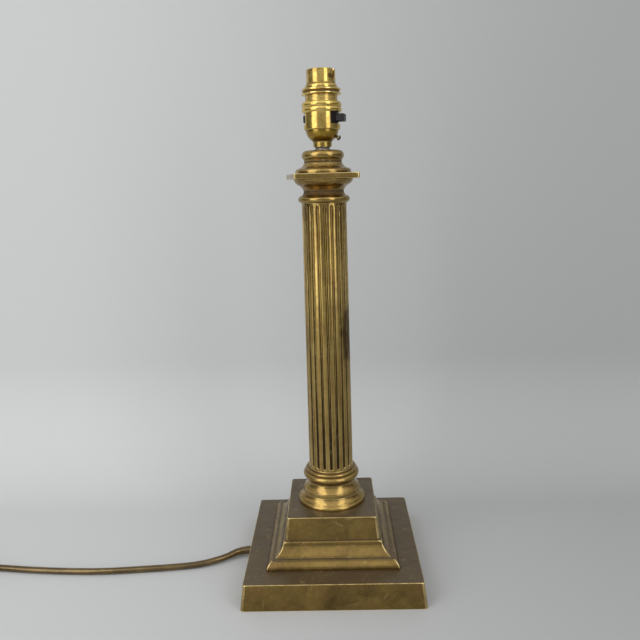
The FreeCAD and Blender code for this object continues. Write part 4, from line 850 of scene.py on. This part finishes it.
def flute_rule(given, radius, angle, z):
    """Round grooves with round ends, on a crowned rib surface."""
    pitch = 2 * math.pi / given["Grooves"]
    offset = ((angle - given["Turn"]) / pitch + 100.5).by("FRACT") - 0.5
    side = offset * pitch * radius
    past = (given["Low"] - z).by("MAXIMUM", z - given["High"]).by("MAXIMUM", 0.0)
    across = (side * side + past * past).by("SQRT") / given["Half width"]
    bowl = (1.0 - across * across).by("MAXIMUM", 0.0).by("SQRT")
    lip = ((across - 1.0).by("MAXIMUM", 0.0) * -7.0).by("EXPONENT")
    hollow = (given["Depth"] - given["Lip"]) * bowl + given["Lip"] * lip
    rib = 1.0 - offset.by("ABSOLUTE") * 2.0
    crown = given["Crown"] * (rib * rib) * (past * -500.0).by("EXPONENT")
    outside = radius.by("GREATER_THAN", given["Bore"])
    edge = ((across - 1.12).by("ABSOLUTE") * -5.0).by("EXPONENT") * 0.8
    return (hollow + crown) * outside, edge * outside, bowl * outside


def thread_rule(given, radius, angle, z):
    """A screw thread between two heights, which runs out at both ends."""
    turns = z / given["Pitch"] - angle / (2 * math.pi)
    wave = ((turns + 100.0).by("FRACT") * 2.0 - 1.0).by("ABSOLUTE")
    fade = given["Pitch"] * 0.6
    low = (z - given["Low"]).by("DIVIDE", fade, clamp=True)
    high = (given["High"] - z).by("DIVIDE", fade, clamp=True)
    inside = low * high * (radius.by("GREATER_THAN", given["Bore"]) * radius.by("LESS_THAN", given["Reach"]))
    root = (1.0 - wave) * inside
    return root * given["Depth"], wave * inside * 0.75, root * 0.6


def wound_spring(graph, given):
    """A round wire wound into a coil."""
    line = graph.value("GeometryNodeCurveSpiral", {
        "Resolution": 28, "Rotations": given["Turns"], "Start Radius": given["Radius"],
        "End Radius": given["Radius"], "Height": given["Height"],
    })
    ring = graph.value("GeometryNodeCurvePrimitiveCircle", {"Resolution": 12, "Radius": given["Wire"]})
    wire = graph.value("GeometryNodeCurveToMesh", {"Curve": line, "Profile Curve": ring, "Fill Caps": True})
    return finished(graph, wire, given["Finish"])


FLUTES = rule_tree("fluted_shaft", {
    "Grooves": 20.0, "Half width": 0.0013, "Depth": 0.00145, "Lip": 0.0001, "Crown": 0.0002, "Bore": 0.019,
    "Low": 0.0, "High": 0.0, "Turn": 0.0,
}, flute_rule)
THREAD = rule_tree("screw_thread", {
    "Pitch": 0.001, "Depth": 0.0001, "Bore": 0.0, "Reach": 0.02, "Low": 0.0, "High": 0.0,
}, thread_rule)
SPRING = node_group("wound_spring", "GeometryNodeTree", {
    "Turns": 5.0, "Radius": 0.0015, "Wire": 0.00025, "Height": 0.007, "Finish": "NodeSocketMaterial",
}, wound_spring)


def ruled(piece, tree, finish, **sizes):
    """Works a rule into the piece. Its sizes go in by the identifiers of the tree's inputs."""
    modifier = piece.modifiers.new(tree.name, "NODES")
    modifier.node_group = tree
    wanted = {label.replace("_", " ").capitalize(): value for label, value in sizes.items()}
    for item in tree.interface.items_tree:
        if item.in_out == "INPUT" and item.name in wanted:
            modifier[item.identifier] = wanted[item.name]
        elif item.in_out == "INPUT" and item.name == "Finish":
            modifier[item.identifier] = finish
    return settled(piece)


def azimuth(degrees):
    """The mathematical angle, in radians, of an azimuth that is 0 at the front and 90 at the right."""
    return math.radians(degrees - 90)


def drum(name, radius, low, high, finish, place=None, segments=48):
    """A plain round bar."""
    return turned(name, 0, [(0, low), (radius, low), (radius, high), (0, high)], finish, 0.0001, segments, place)


# ---------------------------------------------------------------- the base
ROD_HOLE = 5.15
BASE_OUTSIDE = [
    (82.7, 0), (80.0, 23.0, 0.8), (79.2, 23.8), (60.3, 23.8), (60.3, 25.6, 8.0), (54.6, 32.7), (53.2, 32.7, -16.0),
    (45.6, 43.0, 1.9), (43.7, 44.9), (41.4, 65.7, 0.8), (40.6, 66.5), (ROD_HOLE, 66.5),
]
BASE_INSIDE = [
    (ROD_HOLE, 62.0), (37.9, 62.0), (37.9, 29.2), (51.1, 29.2), (51.1, 19.8), (76.0, 19.8), (76.0, 1.9), (77.7, 1.9),
    (77.7, 0),
]
BASE_CORNERS = ((23.9, 2.4), (44.0, 1.0), (66.5, 2.2))
BUSH_PLACE = (-81.45, 7.5, 6.0)
SIDEWAYS = Matrix.Translation(BUSH_PLACE) @ Matrix.Rotation(math.radians(-90), 4, "Y")


def stepped_base():
    """The hollow base: plinth, mitred moulding and die block, with the flex hole in its left wall."""
    points = outline(BASE_OUTSIDE + BASE_INSIDE, 0.35)
    edge, recess = exposure(points, 1.0)
    sections = []
    for (half, height), proud, deep in zip(points, edge, recess):
        inner = half < ROD_HOLE + 1.0
        corner = half if inner else next((size for top, size in BASE_CORNERS if height <= top), 2.2)
        sections.append((half, half, corner, height, proud, deep))
    base = lofted("base_casting", sections, BASE_BRASS, corner_wear=0.62)
    hole = drum("bush_hole", 4.05, -14.0, 4.0, BASE_BRASS, SIDEWAYS)
    face = drum("bush_face", 4.8, 0.0, 4.0, BASE_BRASS, SIDEWAYS)
    return smoothed(cut(base, [hole, face]))


def flex_bush():
    """The flanged bush in the flex hole."""
    bush = turned("flex_bush", 0, [
        (3.2, -5.4), (4.0, -5.4), (4.0, 0), (4.6, 0), (4.6, 0.7, 0.7), (3.9, 1.4), (3.2, 1.4),
    ], BUSH_RUBBER, 0.12, 64, SIDEWAYS)
    return smoothed(bush)


def baize_sheet():
    """The baize under the base, its cut edge a little fluffed."""
    sections = [(half, half, 1.2, height, 0.0, 0.0)
                for half, height in ((77.45, 0.2), (77.6, 0.4), (77.6, 0.6), (77.5, 0.68))]
    return smoothed(lofted("baize_sheet_cut", sections, BAIZE, closed=False))


# ---------------------------------------------------------------- the column
FOOT_SEAT, SHAFT_SEAT, CAPITAL_SEAT, PLATE_SEAT, CAP_SEAT = 66.5, 101.5, 350.0, 371.0, 375.8
SPIGOT = 17.0
COLUMN_FOOT = [
    (17.8, 0), (32.4, 0), (32.4, 1.6, 3.6), (30.9, 4.6), (30.5, 5.6, -9.0), (27.6, 10.7), (26.8, 10.9),
    (26.5, 13.8), (25.8, 14.2, -14.0), (22.2, 22.4), (23.8, 24.0, 3.25), (24.5, 30.3), (23.9, 30.4, 1.7),
    (23.1, 33.3), (21.55, 33.4), (21.55, 35.0), (SPIGOT, 35.0), (SPIGOT, 39.0), (ROD_HOLE, 39.0), (ROD_HOLE, 31.0),
    (17.8, 31.0),
]
CAPITAL = [
    (ROD_HOLE, -4.0), (SPIGOT, -4.0), (SPIGOT, 0), (20.95, 0), (20.95, 0.7, 2.95), (21.35, 6.2),
    (20.2, 6.8, -3.9), (17.8, 10.4), (18.2, 11.6, -10.0), (22.0, 15.6, 8.0), (26.4, 20.4), (26.2, 21.0),
    (13.8, 21.0), (13.8, 3.0), (ROD_HOLE, 3.0),
]
CAP = [
    (11.0, 0), (24.8, 0), (24.8, 1.6, 2.6), (23.2, 4.0, -8.0), (17.0, 8.6), (16.4, 9.6), (17.0, 11.8, 4.6),
    (16.4, 19.2), (15.8, 19.5), (ROD_HOLE, 19.5), (ROD_HOLE, 15.0), (11.0, 15.0),
]
SHAFT_LENGTH, SHAFT_FOOT, SHAFT_HEAD, SHAFT_BORE = 248.5, 21.05, 20.0, 17.2
FLUTE_COUNT, FLUTE_HALF, FLUTE_DEPTH, FLUTE_MARGIN, FLUTE_TURN = 20, 1.3, 1.45, 1.9, 1.5
PLATE_HALF, PLATE_THICKNESS, PLATE_TURN, PLATE_SHIFT, PLATE_HOLE = 28.5, 4.8, 10.0, -1.5, 7.4


def fluted_shaft():
    """The tapered shaft, its grooves cut by the flute rule on columns of points that crowd round each groove."""
    pitch = 2 * math.pi / FLUTE_COUNT
    half = FLUTE_HALF / (SHAFT_FOOT + SHAFT_HEAD) * 2
    spots = [half * math.sin(math.radians(turn)) for turn in range(-90, 91, 15)]
    spots = [-half * 1.75, -half * 1.35, -half * 1.12] + spots + [half * 1.12, half * 1.35, half * 1.75, pitch / 2]
    front = azimuth(FLUTE_TURN)
    angles = [front + pitch * flute + spot for flute in range(FLUTE_COUNT) for spot in spots]
    ends = [0.0, 0.5, 1.0, 1.4, 1.7, 1.85, 2.0, 2.15, 2.35, 2.6, 2.85, 3.1, 3.4, 4.2, 6.0]
    middle = [6.0 + (SHAFT_LENGTH - 12.0) * step / 16 for step in range(1, 16)]
    heights = ends + middle + [SHAFT_LENGTH - height for height in reversed(ends)]
    outer = [(SHAFT_FOOT + (SHAFT_HEAD - SHAFT_FOOT) * height / SHAFT_LENGTH, height) for height in heights]
    rings = [(SHAFT_BORE, 0.0), *outer, (SHAFT_BORE, SHAFT_LENGTH)]
    vertices = [(radius * math.cos(a), radius * math.sin(a), height + SHAFT_SEAT)
                for radius, height in rings for a in angles]
    unmarked = [0.0] * len(vertices)
    shaft = mesh_piece("fluted_shaft", vertices, bands(len(rings), len(angles)), SHAFT_BRASS,
                       {"edge": unmarked, "recess": unmarked})
    low = SHAFT_SEAT + FLUTE_MARGIN + FLUTE_HALF
    high = SHAFT_SEAT + SHAFT_LENGTH - FLUTE_MARGIN - FLUTE_HALF
    ruled(shaft, FLUTES, SHAFT_BRASS, grooves=float(FLUTE_COUNT), half_width=FLUTE_HALF * MM, depth=FLUTE_DEPTH * MM,
          lip=0.14 * MM, crown=0.42 * MM, bore=19.0 * MM, low=low * MM, high=high * MM, turn=front)
    return smoothed(shaft, 50.0)


def capital_plate():
    """The loose square plate, a little turned and off centre."""
    points = outline([
        (PLATE_HOLE, 0), (PLATE_HALF, 0), (PLATE_HALF, PLATE_THICKNESS), (PLATE_HOLE, PLATE_THICKNESS),
    ], 0.7)
    edge, recess = exposure(points)
    sections = []
    for (half, height), proud, deep in zip(points, edge, recess):
        corner = half if half < PLATE_HOLE + 1.0 else 1.3
        sections.append((half, half, corner, height, max(proud, 0.35), deep * 0.2))
    place = Matrix.Translation((PLATE_SHIFT, 0, PLATE_SEAT)) @ Matrix.Rotation(math.radians(PLATE_TURN), 4, "Z")
    return smoothed(lofted("capital_plate", sections, TURNED_BRASS, place=place))


# ---------------------------------------------------------------- the lampholder
NIPPLE_SEAT, CUP_SEAT, SEAM, UNION_SEAT, BARREL_SEAT, RING_SEAT = 395.3, 398.3, 412.6, 427.0, 432.6, 441.4
BLOCK_SEAT, BARREL_TOP = 413.5, 462.5
SLOT_TURN, SLOT_HOOK, SLOT_DEPTH, SLOT_WIDTH, POCKET, MOUTH_RADIUS = 62.0, 24.0, 8.2, 2.6, 2.0, 12.0
BAR_TURN, BAR_LENGTH, BAR_REACH, BAR_HEIGHT = 73.0, 36.8, 20.9, 422.1
BAR_HALF, BAR_CORNER = (4.5, 3.3), 0.9
WINDOW_TURN, WINDOW_ANGLE, WINDOW_SILL = 28.0, 90.0, 417.0
SCREW_TURN, SCREW_TILT, SCREW_SEAT, SCREW_Z = 82.0, 33.0, 12.4, 406.9
PLUNGER_TURN, PLUNGER_SPREAD, PLUNGER_LOW, PLUNGER_TOP = 128.0, 5.9, 435.9, 449.4
CONTACTS = (("right", 0), ("left", 180))
SPRING_SEAT, SPRING_HEIGHT, SPRING_TURNS, SPRING_RADIUS, SPRING_WIRE = 428.35, 7.5, 5.0, 1.5, 0.5


def nipple():
    """The steel nipple that shows between the cap and the cup, with its fine thread."""
    rows = [(6.7, 0.3 + 0.15 * step) for step in range(48)]
    piece = turned("holder_nipple_thread", NIPPLE_SEAT, [(5.05, 0), (6.5, 0)] + rows + [(6.5, 7.6), (5.05, 7.6)],
                   ZINC_STEEL, 0.12, 96)
    ruled(piece, THREAD, ZINC_STEEL, pitch=1.0 * MM, depth=0.4 * MM, bore=6.0 * MM, reach=9.0 * MM,
          low=(NIPPLE_SEAT + 0.4) * MM, high=(NIPPLE_SEAT + 7.4) * MM)
    return smoothed(piece, 60.0)


def screw_place():
    """Where the cup screw enters the bowl, with its own axis slanting out and down."""
    turn = azimuth(SCREW_TURN)
    where = Vector((SCREW_SEAT * math.cos(turn), SCREW_SEAT * math.sin(turn), SCREW_Z))
    slant = Matrix.Rotation(turn, 4, "Z") @ Matrix.Rotation(math.radians(90 + SCREW_TILT), 4, "Y")
    return Matrix.Translation(where) @ slant


def cup_screw():
    """The round-headed screw that locks the cup, with its slot."""
    place = screw_place()
    screw = turned("cup_lock_screw", 0, [
        (0, -2.7), (1.4, -2.7), (1.4, 1.9), (2.4, 1.9), (2.4, 2.78, 2.85), (0, 4.1),
    ], DARK_SCREW, 0.1, 48, place)
    slot = lofted("screw_slot", [(3.0, 0.3, 0.05, 3.4, 0, 0), (3.0, 0.3, 0.05, 5.0, 0, 0)], DARK_SCREW, closed=False,
                  place=place @ Matrix.Rotation(math.radians(35), 4, "Z"))
    return smoothed(cut(screw, [slot]))


def holder_skirt():
    """The lower case with its two windows for the switch bar."""
    skirt = turned("holder_skirt_case", SEAM, [
        (13.15, 0), (15.05, 0, 0.9), (15.95, 0.9), (15.95, 14.4), (15.2, 14.4), (15.2, 20.0), (14.65, 20.0),
        (14.65, 0.9), (13.15, 0.9),
    ], HOLDER_BRASS, 0.15, 180, inside=14.9)
    first = WINDOW_TURN - 90
    windows = [sector(f"window_{side}", 14.0, 20.0, WINDOW_SILL, UNION_SEAT + 1.0, first + turn,
                      first + turn + WINDOW_ANGLE, HOLDER_BRASS, 45) for side, turn in (("right", 0), ("left", 180))]
    return smoothed(cut(skirt, windows), 40.0)


def bulb_barrel():
    """The barrel: a clamped flange, a fine thread, a rounded shoulder and the mouth with its two J-slots."""
    rows = [(14.0, 1.8 + 0.14 * step) for step in range(94)]
    barrel = turned("bulb_barrel_tube", BARREL_SEAT, [(13.0, 0), (15.0, 0), (15.0, 1.2), (14.0, 1.2)] + rows + [
        (14.0, 15.4, 2.6), (12.5, 18.0), (12.5, 29.5), (12.1, 29.9), (11.35, 29.9), (11.35, 17.4), (13.0, 15.4),
    ], HOLDER_BRASS, 0.12, 144, inside=11.6)
    ruled(barrel, THREAD, HOLDER_BRASS, pitch=1.1 * MM, depth=0.09 * MM, bore=13.5 * MM, reach=14.5 * MM,
          low=(BARREL_SEAT + 2.2) * MM, high=(BARREL_SEAT + 14.6) * MM)
    floor = BARREL_TOP - SLOT_DEPTH
    cutters = []
    for side, opposite in (("right", 0.0), ("left", 180.0)):
        turn = SLOT_TURN - 90 + opposite
        hook = turn - SLOT_HOOK
        width = math.degrees(SLOT_WIDTH / 2 / MOUTH_RADIUS)
        cutters.append(sector(f"slot_{side}", MOUTH_RADIUS - 2.0, MOUTH_RADIUS + 2.0, floor, BARREL_TOP + 1.0,
                              turn - width, turn + width, HOLDER_BRASS, 6))
        cutters.append(sector(f"hook_{side}", MOUTH_RADIUS - 1.9, MOUTH_RADIUS + 1.9, floor + 0.001,
                              floor + SLOT_WIDTH, hook, turn, HOLDER_BRASS, 10))
        across = Matrix.Rotation(math.radians(hook), 4, "Z") @ Matrix.Rotation(math.radians(90), 4, "Y")
        pocket = Matrix.Translation((0, 0, floor + SLOT_WIDTH - 0.6)) @ across
        cutters.append(drum(f"pocket_{side}", POCKET, 8.0, 16.0, HOLDER_BRASS, pocket, 40))
    return smoothed(cut(barrel, cutters), 40.0)


def switch_bar():
    """The moulded push bar, round at its long edges and dished a little at its ends."""
    inset = ((0.0, 0.9), (0.12, 0.55), (0.35, 0.25), (0.7, 0.07), (1.2, 0.0))
    stations = [(along, back, 0.6) for along, back in inset]
    stations += [(BAR_LENGTH * share, 0.0, 0.0) for share in (0.1, 0.3, 0.5, 0.7, 0.9)]
    stations += [(BAR_LENGTH - along, back, 0.6) for along, back in reversed(inset)]
    sections = [(BAR_HALF[0] - back, BAR_HALF[1] - back, BAR_CORNER, along, edge, 0.0)
                for along, back, edge in stations]
    where = Matrix.Rotation(azimuth(BAR_TURN), 4, "Z") @ Matrix.Translation((BAR_REACH - BAR_LENGTH, 0, BAR_HEIGHT))
    place = where @ Matrix(((0, 0, 1, 0), (1, 0, 0, 0), (0, 1, 0, 0), (0, 0, 0, 1)))
    return smoothed(lofted("switch_bar", sections, BAKELITE, closed=False, place=place, corner_wear=0.5))


def contact_spot(opposite, height):
    """A point on the axis of a contact."""
    angle = azimuth(PLUNGER_TURN + opposite)
    return Vector((PLUNGER_SPREAD * math.cos(angle), PLUNGER_SPREAD * math.sin(angle), height))


def switch_block():
    """The moulded block, slotted for the bar and bored for the plungers."""
    block = turned("switch_block_body", BLOCK_SEAT, [
        (0, 0), (14.5, 0), (14.5, 18.9), (12.7, 18.9), (12.7, 28.9), (9.6, 28.9), (9.6, 28.5), (0, 28.5),
    ], BAKELITE, 0.2, 96)
    cutters = [drum(f"bore_{side}", 2.3, 428.3, 445.0, BAKELITE, Matrix.Translation(contact_spot(opposite, 0)), 40)
               for side, opposite in CONTACTS]
    place = Matrix.Rotation(azimuth(BAR_TURN), 4, "Z")
    cutters.append(lofted("bar_slot", [(20.0, 4.6, 0.05, 418.7, 0, 0), (20.0, 4.6, 0.05, 425.5, 0, 0)], BAKELITE,
                          closed=False, place=place))
    return smoothed(cut(block, cutters), 40.0)


def plunger(side, opposite):
    """A contact plunger with a domed, slightly flattened tip."""
    length = PLUNGER_TOP - PLUNGER_LOW
    return smoothed(turned(f"contact_plunger_{side}", 0, [
        (0, 0), (2.2, 0), (2.2, length - 1.6, 2.31), (0, length),
    ], CONTACT_BRASS, 0.12, 48, Matrix.Translation(contact_spot(opposite, PLUNGER_LOW))))


def plunger_spring(side, opposite):
    """The coil spring under a plunger, seated on the stand; it does not shorten with the plunger."""
    spring = mesh_piece(f"coil_spring_{side}", [], [], SPRING_STEEL)
    ruled(spring, SPRING, SPRING_STEEL, turns=SPRING_TURNS, radius=SPRING_RADIUS * MM, wire=SPRING_WIRE / 2 * MM,
          height=(SPRING_HEIGHT - SPRING_WIRE) * MM)
    foot = contact_spot(opposite, SPRING_SEAT) * MM
    spring.data.transform(Matrix.Translation(foot + UP * SPRING_WIRE / 2 * MM))
    fitted(smoothed(spring, 60.0), ROOT, "spring_steel", f"plunger_spring_{side}")
    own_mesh(spring)


# ---------------------------------------------------------------- the flex's relief and the plug
RELIEF_LENGTH = 21.0
RELIEF_START, RELIEF_END, RELIEF_BORE = 4.0, 3.35, 3.08
RELIEF_SIDES = 40


def strain_relief(line):
    """The short tapered sleeve on the flex where it leaves the bush, along the flex's own line."""
    travelled = [0.0]
    for before, after in zip(line, line[1:]):
        travelled.append(travelled[-1] + (after - before).length)
        if travelled[-1] > RELIEF_LENGTH:
            break
    taken = line[:len(travelled)]
    sections = []
    for index, (point, run) in enumerate(zip(taken, travelled)):
        radius = RELIEF_START + (RELIEF_END - RELIEF_START) * run / travelled[-1]
        ahead = (taken[min(index + 1, len(taken) - 1)] - taken[max(index - 1, 0)]).normalized()
        sections.append((point, radius, ahead))
    (start, radius, first), (end, _, last) = sections[0], sections[-1]
    lip = end + last * 0.4
    loops = [(start, radius - 0.2, first), *sections, (lip, 3.2, last), (lip, RELIEF_BORE, last)]
    loops += [(point, RELIEF_BORE, ahead) for point, _, ahead in reversed(sections)]
    vertices = []
    for point, radius, ahead in loops:
        side = ahead.cross(UP).normalized()
        top = side.cross(ahead)
        for step in range(RELIEF_SIDES):
            angle = 2 * math.pi * step / RELIEF_SIDES
            vertices.append(point + (side * math.cos(angle) + top * math.sin(angle)) * radius)
    return smoothed(mesh_piece("flex_relief", vertices, bands(len(loops), RELIEF_SIDES), GOLD_FLEX))


# ---------------------------------------------------------------- floor, backdrop and light
def paper_finish(name):
    """Pale grey seamless paper, painted lighter on the left and darker on the right as the lamps light it, with the
    faintest grain, and clear from behind.
    """
    finish, graph, shader = blank(name)
    grain = graph.noise(graph.place(), 900.0, 3.0)
    colour = graph.layered(PAPER_LIT_LEFT, (graph.ramp(graph.split(graph.place())[0], -0.35, 0.4), PAPER_SHADED_RIGHT),
                           (grain * 0.06, (0.3, 0.3, 0.3)))
    dress(graph, shader, colour, 0.8, grain, 0.02)
    seen = graph.value("ShaderNodeMixShader", {
        0: graph.value("ShaderNodeNewGeometry", output="Backfacing"), 1: Value(graph, shader.outputs[0]),
        2: graph.value("ShaderNodeBsdfTransparent"),
    })
    graph.feed(finish.node_tree.nodes["Material Output"].inputs["Surface"], seen)
    return finish


# The paper's colour is painted lighter on the left and darker on the right, where less lamp light falls.
PAPER_LIT_LEFT, PAPER_SHADED_RIGHT = (0.58, 0.592, 0.588), (0.39, 0.398, 0.396)
FLOOR_SIZE = 2.6
SWEEP_START, SWEEP_RADIUS, SWEEP_TOP, SWEEP_SIDE = 0.11, 0.14, 1.5, 0.56
SWEEP_STEPS = 24


def studio():
    """A pale floor, a paper sweep behind the lamp, two tall soft lamps and a dim room."""
    profile = []
    for step in range(SWEEP_STEPS + 1):
        angle = math.pi / 2 * step / SWEEP_STEPS
        profile.append((SWEEP_START + SWEEP_RADIUS * math.sin(angle), SWEEP_RADIUS * (1 - math.cos(angle))))
    profile.append((SWEEP_START + SWEEP_RADIUS, SWEEP_TOP))
    vertices = [(side * SWEEP_SIDE / MM, y / MM, z / MM + 0.05) for y, z in profile for side in (-1, 1)]
    faces = [(2 * row, 2 * row + 1, 2 * row + 3, 2 * row + 2) for row in range(len(profile) - 1)]
    sweep = mesh_piece("studio_sweep", vertices, faces, paper_finish("studio_sweep_paper"))
    sweep.data.shade_smooth()
    half = FLOOR_SIZE / MM
    corners = [(-half, -half, 0), (half, -half, 0), (half, half, 0), (-half, half, 0)]
    floor = mesh_piece("studio_floor", corners, [(0, 1, 2, 3)], paper_finish("studio_floor_paper"))
    for name, turn, rise, distance, width, height, power in LAMPS:
        light = bpy.data.lights.new(name, "AREA")
        light.shape, light.size, light.size_y, light.energy = "RECTANGLE", width, height, power
        lamp = bpy.data.objects.new(name, light)
        SCENE.collection.objects.link(lamp)
        angle, lift = azimuth(turn), math.radians(rise)
        way = Vector((math.cos(angle) * math.cos(lift), math.sin(angle) * math.cos(lift), math.sin(lift)))
        lamp.location = LAMP_AIM + way * distance
        lamp.rotation_mode = "QUATERNION"
        lamp.rotation_quaternion = way.to_track_quat("Z", "Y")
        lamp.visible_camera = False
    world = bpy.data.worlds.new("dim_room")
    SCENE.world = world
    world.use_nodes = True
    graph = Graph(world.node_tree)
    sky = world.node_tree.nodes["Background"]
    _, depth, height = graph.split(graph.value("ShaderNodeTexCoord", output="Generated"))
    level = graph.mix(graph.ramp(depth, -0.9, -0.3), ROOM_FRONT, ROOM_SIDE)
    above = graph.mix(graph.ramp(depth, -0.45, 0.1), ROOM_FRONT_ABOVE, ROOM_ABOVE)
    graph.feed(sky.inputs["Color"], graph.mix(graph.ramp(height, 0.05, 0.35), level, above))
    sky.inputs["Strength"].default_value = 1.0
    SCENE.view_settings.view_transform = "Standard"


LAMP_AIM = Vector((0, 0, 0.24))
LAMPS = (
    ("left_softbox", -47.0, 22.0, 1.25, 0.72, 1.7, 6.7),
    ("right_softbox", 40.0, 22.0, 1.35, 0.52, 1.7, 4.7),
)
ROOM_FRONT, ROOM_SIDE, ROOM_ABOVE = (0.31, 0.31, 0.31), (0.12, 0.12, 0.12), (0.6, 0.6, 0.61)
ROOM_FRONT_ABOVE = (0.98, 0.98, 0.99)


# ---------------------------------------------------------------- putting it together
def fitted(piece, body, slot, *nodes):
    """Seats a finished piece on its body in place of its CAD nodes, which it hides. The slot is not used."""
    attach(piece, body)
    if nodes:
        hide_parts(*nodes)
    return piece


CAD_FINISHES = {
    "base_board": FIBRE_BOARD, "tie_rod": ZINC_STEEL, "rod_washer": ZINC_STEEL, "rod_nut": ZINC_STEEL,
    "terminal_posts": CONTACT_BRASS, "terminal_screws": CONTACT_BRASS, "plug_fuse": FUSE_CERAMIC,
}
SOFTENED = (
    ("plug_cover", "plug_cover_shell", PLUG_PLASTIC, "plug_plastic", 0.9, 4),
    ("plug_base", "plug_base_shell", PLUG_PLASTIC, "plug_plastic", 0.7, 4),
    ("plug_line_pins", "plug_pins_sleeved", SLEEVED_PINS, "contact_brass", 0.5, 3),
    ("plug_earth_pin", "plug_pin_long", CONTACT_BRASS, "contact_brass", 0.5, 3),
    ("plug_screws", "plug_screw_set", ZINC_STEEL, "zinc_steel", 0.15, 2),
    ("plug_cord_clamp", "plug_clamp_bar", CLAMP_FIBRE, "clamp_fibre", 0.3, 2),
    ("neutral_core", "neutral_core_wire", BLUE_SLEEVE, "blue_sleeve", 0.05, 1),
    ("live_core", "live_core_wire", BROWN_SLEEVE, "brown_sleeve", 0.05, 1),
)
ROOT = "stand"


def build():
    """Makes every piece, seats it on its body, and puts finishes on the CAD nodes it keeps."""
    photo_camera()
    flex = cord_curve("gold_flex_cord", FLEX_ROUTE + coil_points() + TAIL_ROUTE, FLEX_DIAMETER, GOLD_FLEX)
    relief = strain_relief(centre_line(flex))
    studio()
    fitted(flex, ROOT, "gold_flex", "flex_cord", "flex_coil", "flex_tail")
    fitted(relief, ROOT, "gold_flex")
    bush = fitted(flex_bush(), ROOT, "black_bush", "cord_bush")
    inner = cord_curve("flex_inside_base", INNER_ROUTE, FLEX_DIAMETER, GOLD_FLEX)
    fitted(inner, ROOT, "gold_flex", "inner_flex")

    fitted(stepped_base(), ROOT, "aged_brass", "stepped_base")
    baize = fitted(baize_sheet(), ROOT, "baize", "baize_sheet")
    fitted(smoothed(turned("column_foot_turning", FOOT_SEAT, COLUMN_FOOT, TURNED_BRASS)), ROOT, "aged_brass",
           "column_foot")
    fitted(fluted_shaft(), ROOT, "aged_brass", "reeded_column")
    fitted(smoothed(turned("capital_turning", CAPITAL_SEAT, CAPITAL, TURNED_BRASS)), ROOT, "aged_brass", "capital")
    fitted(capital_plate(), ROOT, "aged_brass", "abacus_plate")
    fitted(smoothed(turned("cap_turning", CAP_SEAT, CAP, TURNED_BRASS)), ROOT, "aged_brass", "top_cap")

    fitted(nipple(), ROOT, "zinc_steel", "holder_nipple")
    fitted(smoothed(turned("holder_cup_bowl", CUP_SEAT, [
        (6.75, 0), (8.2, 0), (8.2, 4.5), (8.6, 5.0, 11.0), (14.2, 14.3), (13.1, 14.3, -9.9), (8.2, 6.0), (6.75, 6.0),
    ], CUP_BRASS, 0.15, polished=4.6)), ROOT, "lampholder_brass", "holder_cup")
    fitted(cup_screw(), ROOT, "lampholder_brass", "cup_screw")
    fitted(holder_skirt(), ROOT, "lampholder_brass", "holder_skirt")
    fitted(smoothed(turned("union_ring_beads", UNION_SEAT, [
        (15.3, 0), (16.65, 0, 3.4), (16.65, 4.3, 3.4), (16.45, 8.6), (14.15, 8.6), (14.15, 6.8), (15.3, 6.8),
    ], HOLDER_BRASS, 0.15)), ROOT, "lampholder_brass", "union_ring")
    fitted(bulb_barrel(), ROOT, "lampholder_brass", "bulb_barrel")
    fitted(smoothed(turned("shade_ring_lips", RING_SEAT, [
        (14.06, 0), (15.9, 0), (16.6, 0.2), (17.25, 0.75), (17.25, 1.4), (16.4, 1.95), (15.6, 2.3), (15.6, 3.1),
        (16.4, 3.45), (17.25, 4.0), (17.25, 4.65), (16.6, 5.2), (15.9, 5.4), (14.06, 5.4),
    ], HOLDER_BRASS, 0.15)), "shade_ring", "lampholder_brass", "shade_ring")
    fitted(switch_bar(), "push_bar", "bakelite", "push_bar")
    fitted(switch_block(), ROOT, "bakelite", "switch_block")
    for side, opposite in CONTACTS:
        fitted(plunger(side, opposite), f"plunger_{side}", "contact_brass", f"plunger_{side}")
        plunger_spring(side, opposite)
    cover, base, pins, earth, screws, clamp, _, _ = (
        fitted(softened(node, name, finish, width, segments), ROOT, slot, node)
        for node, name, finish, slot, width, segments in SOFTENED
    )

    for label, finish in CAD_FINISHES.items():
        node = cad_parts[label]
        node.data.materials.clear()
        node.data.materials.append(finish)


build()
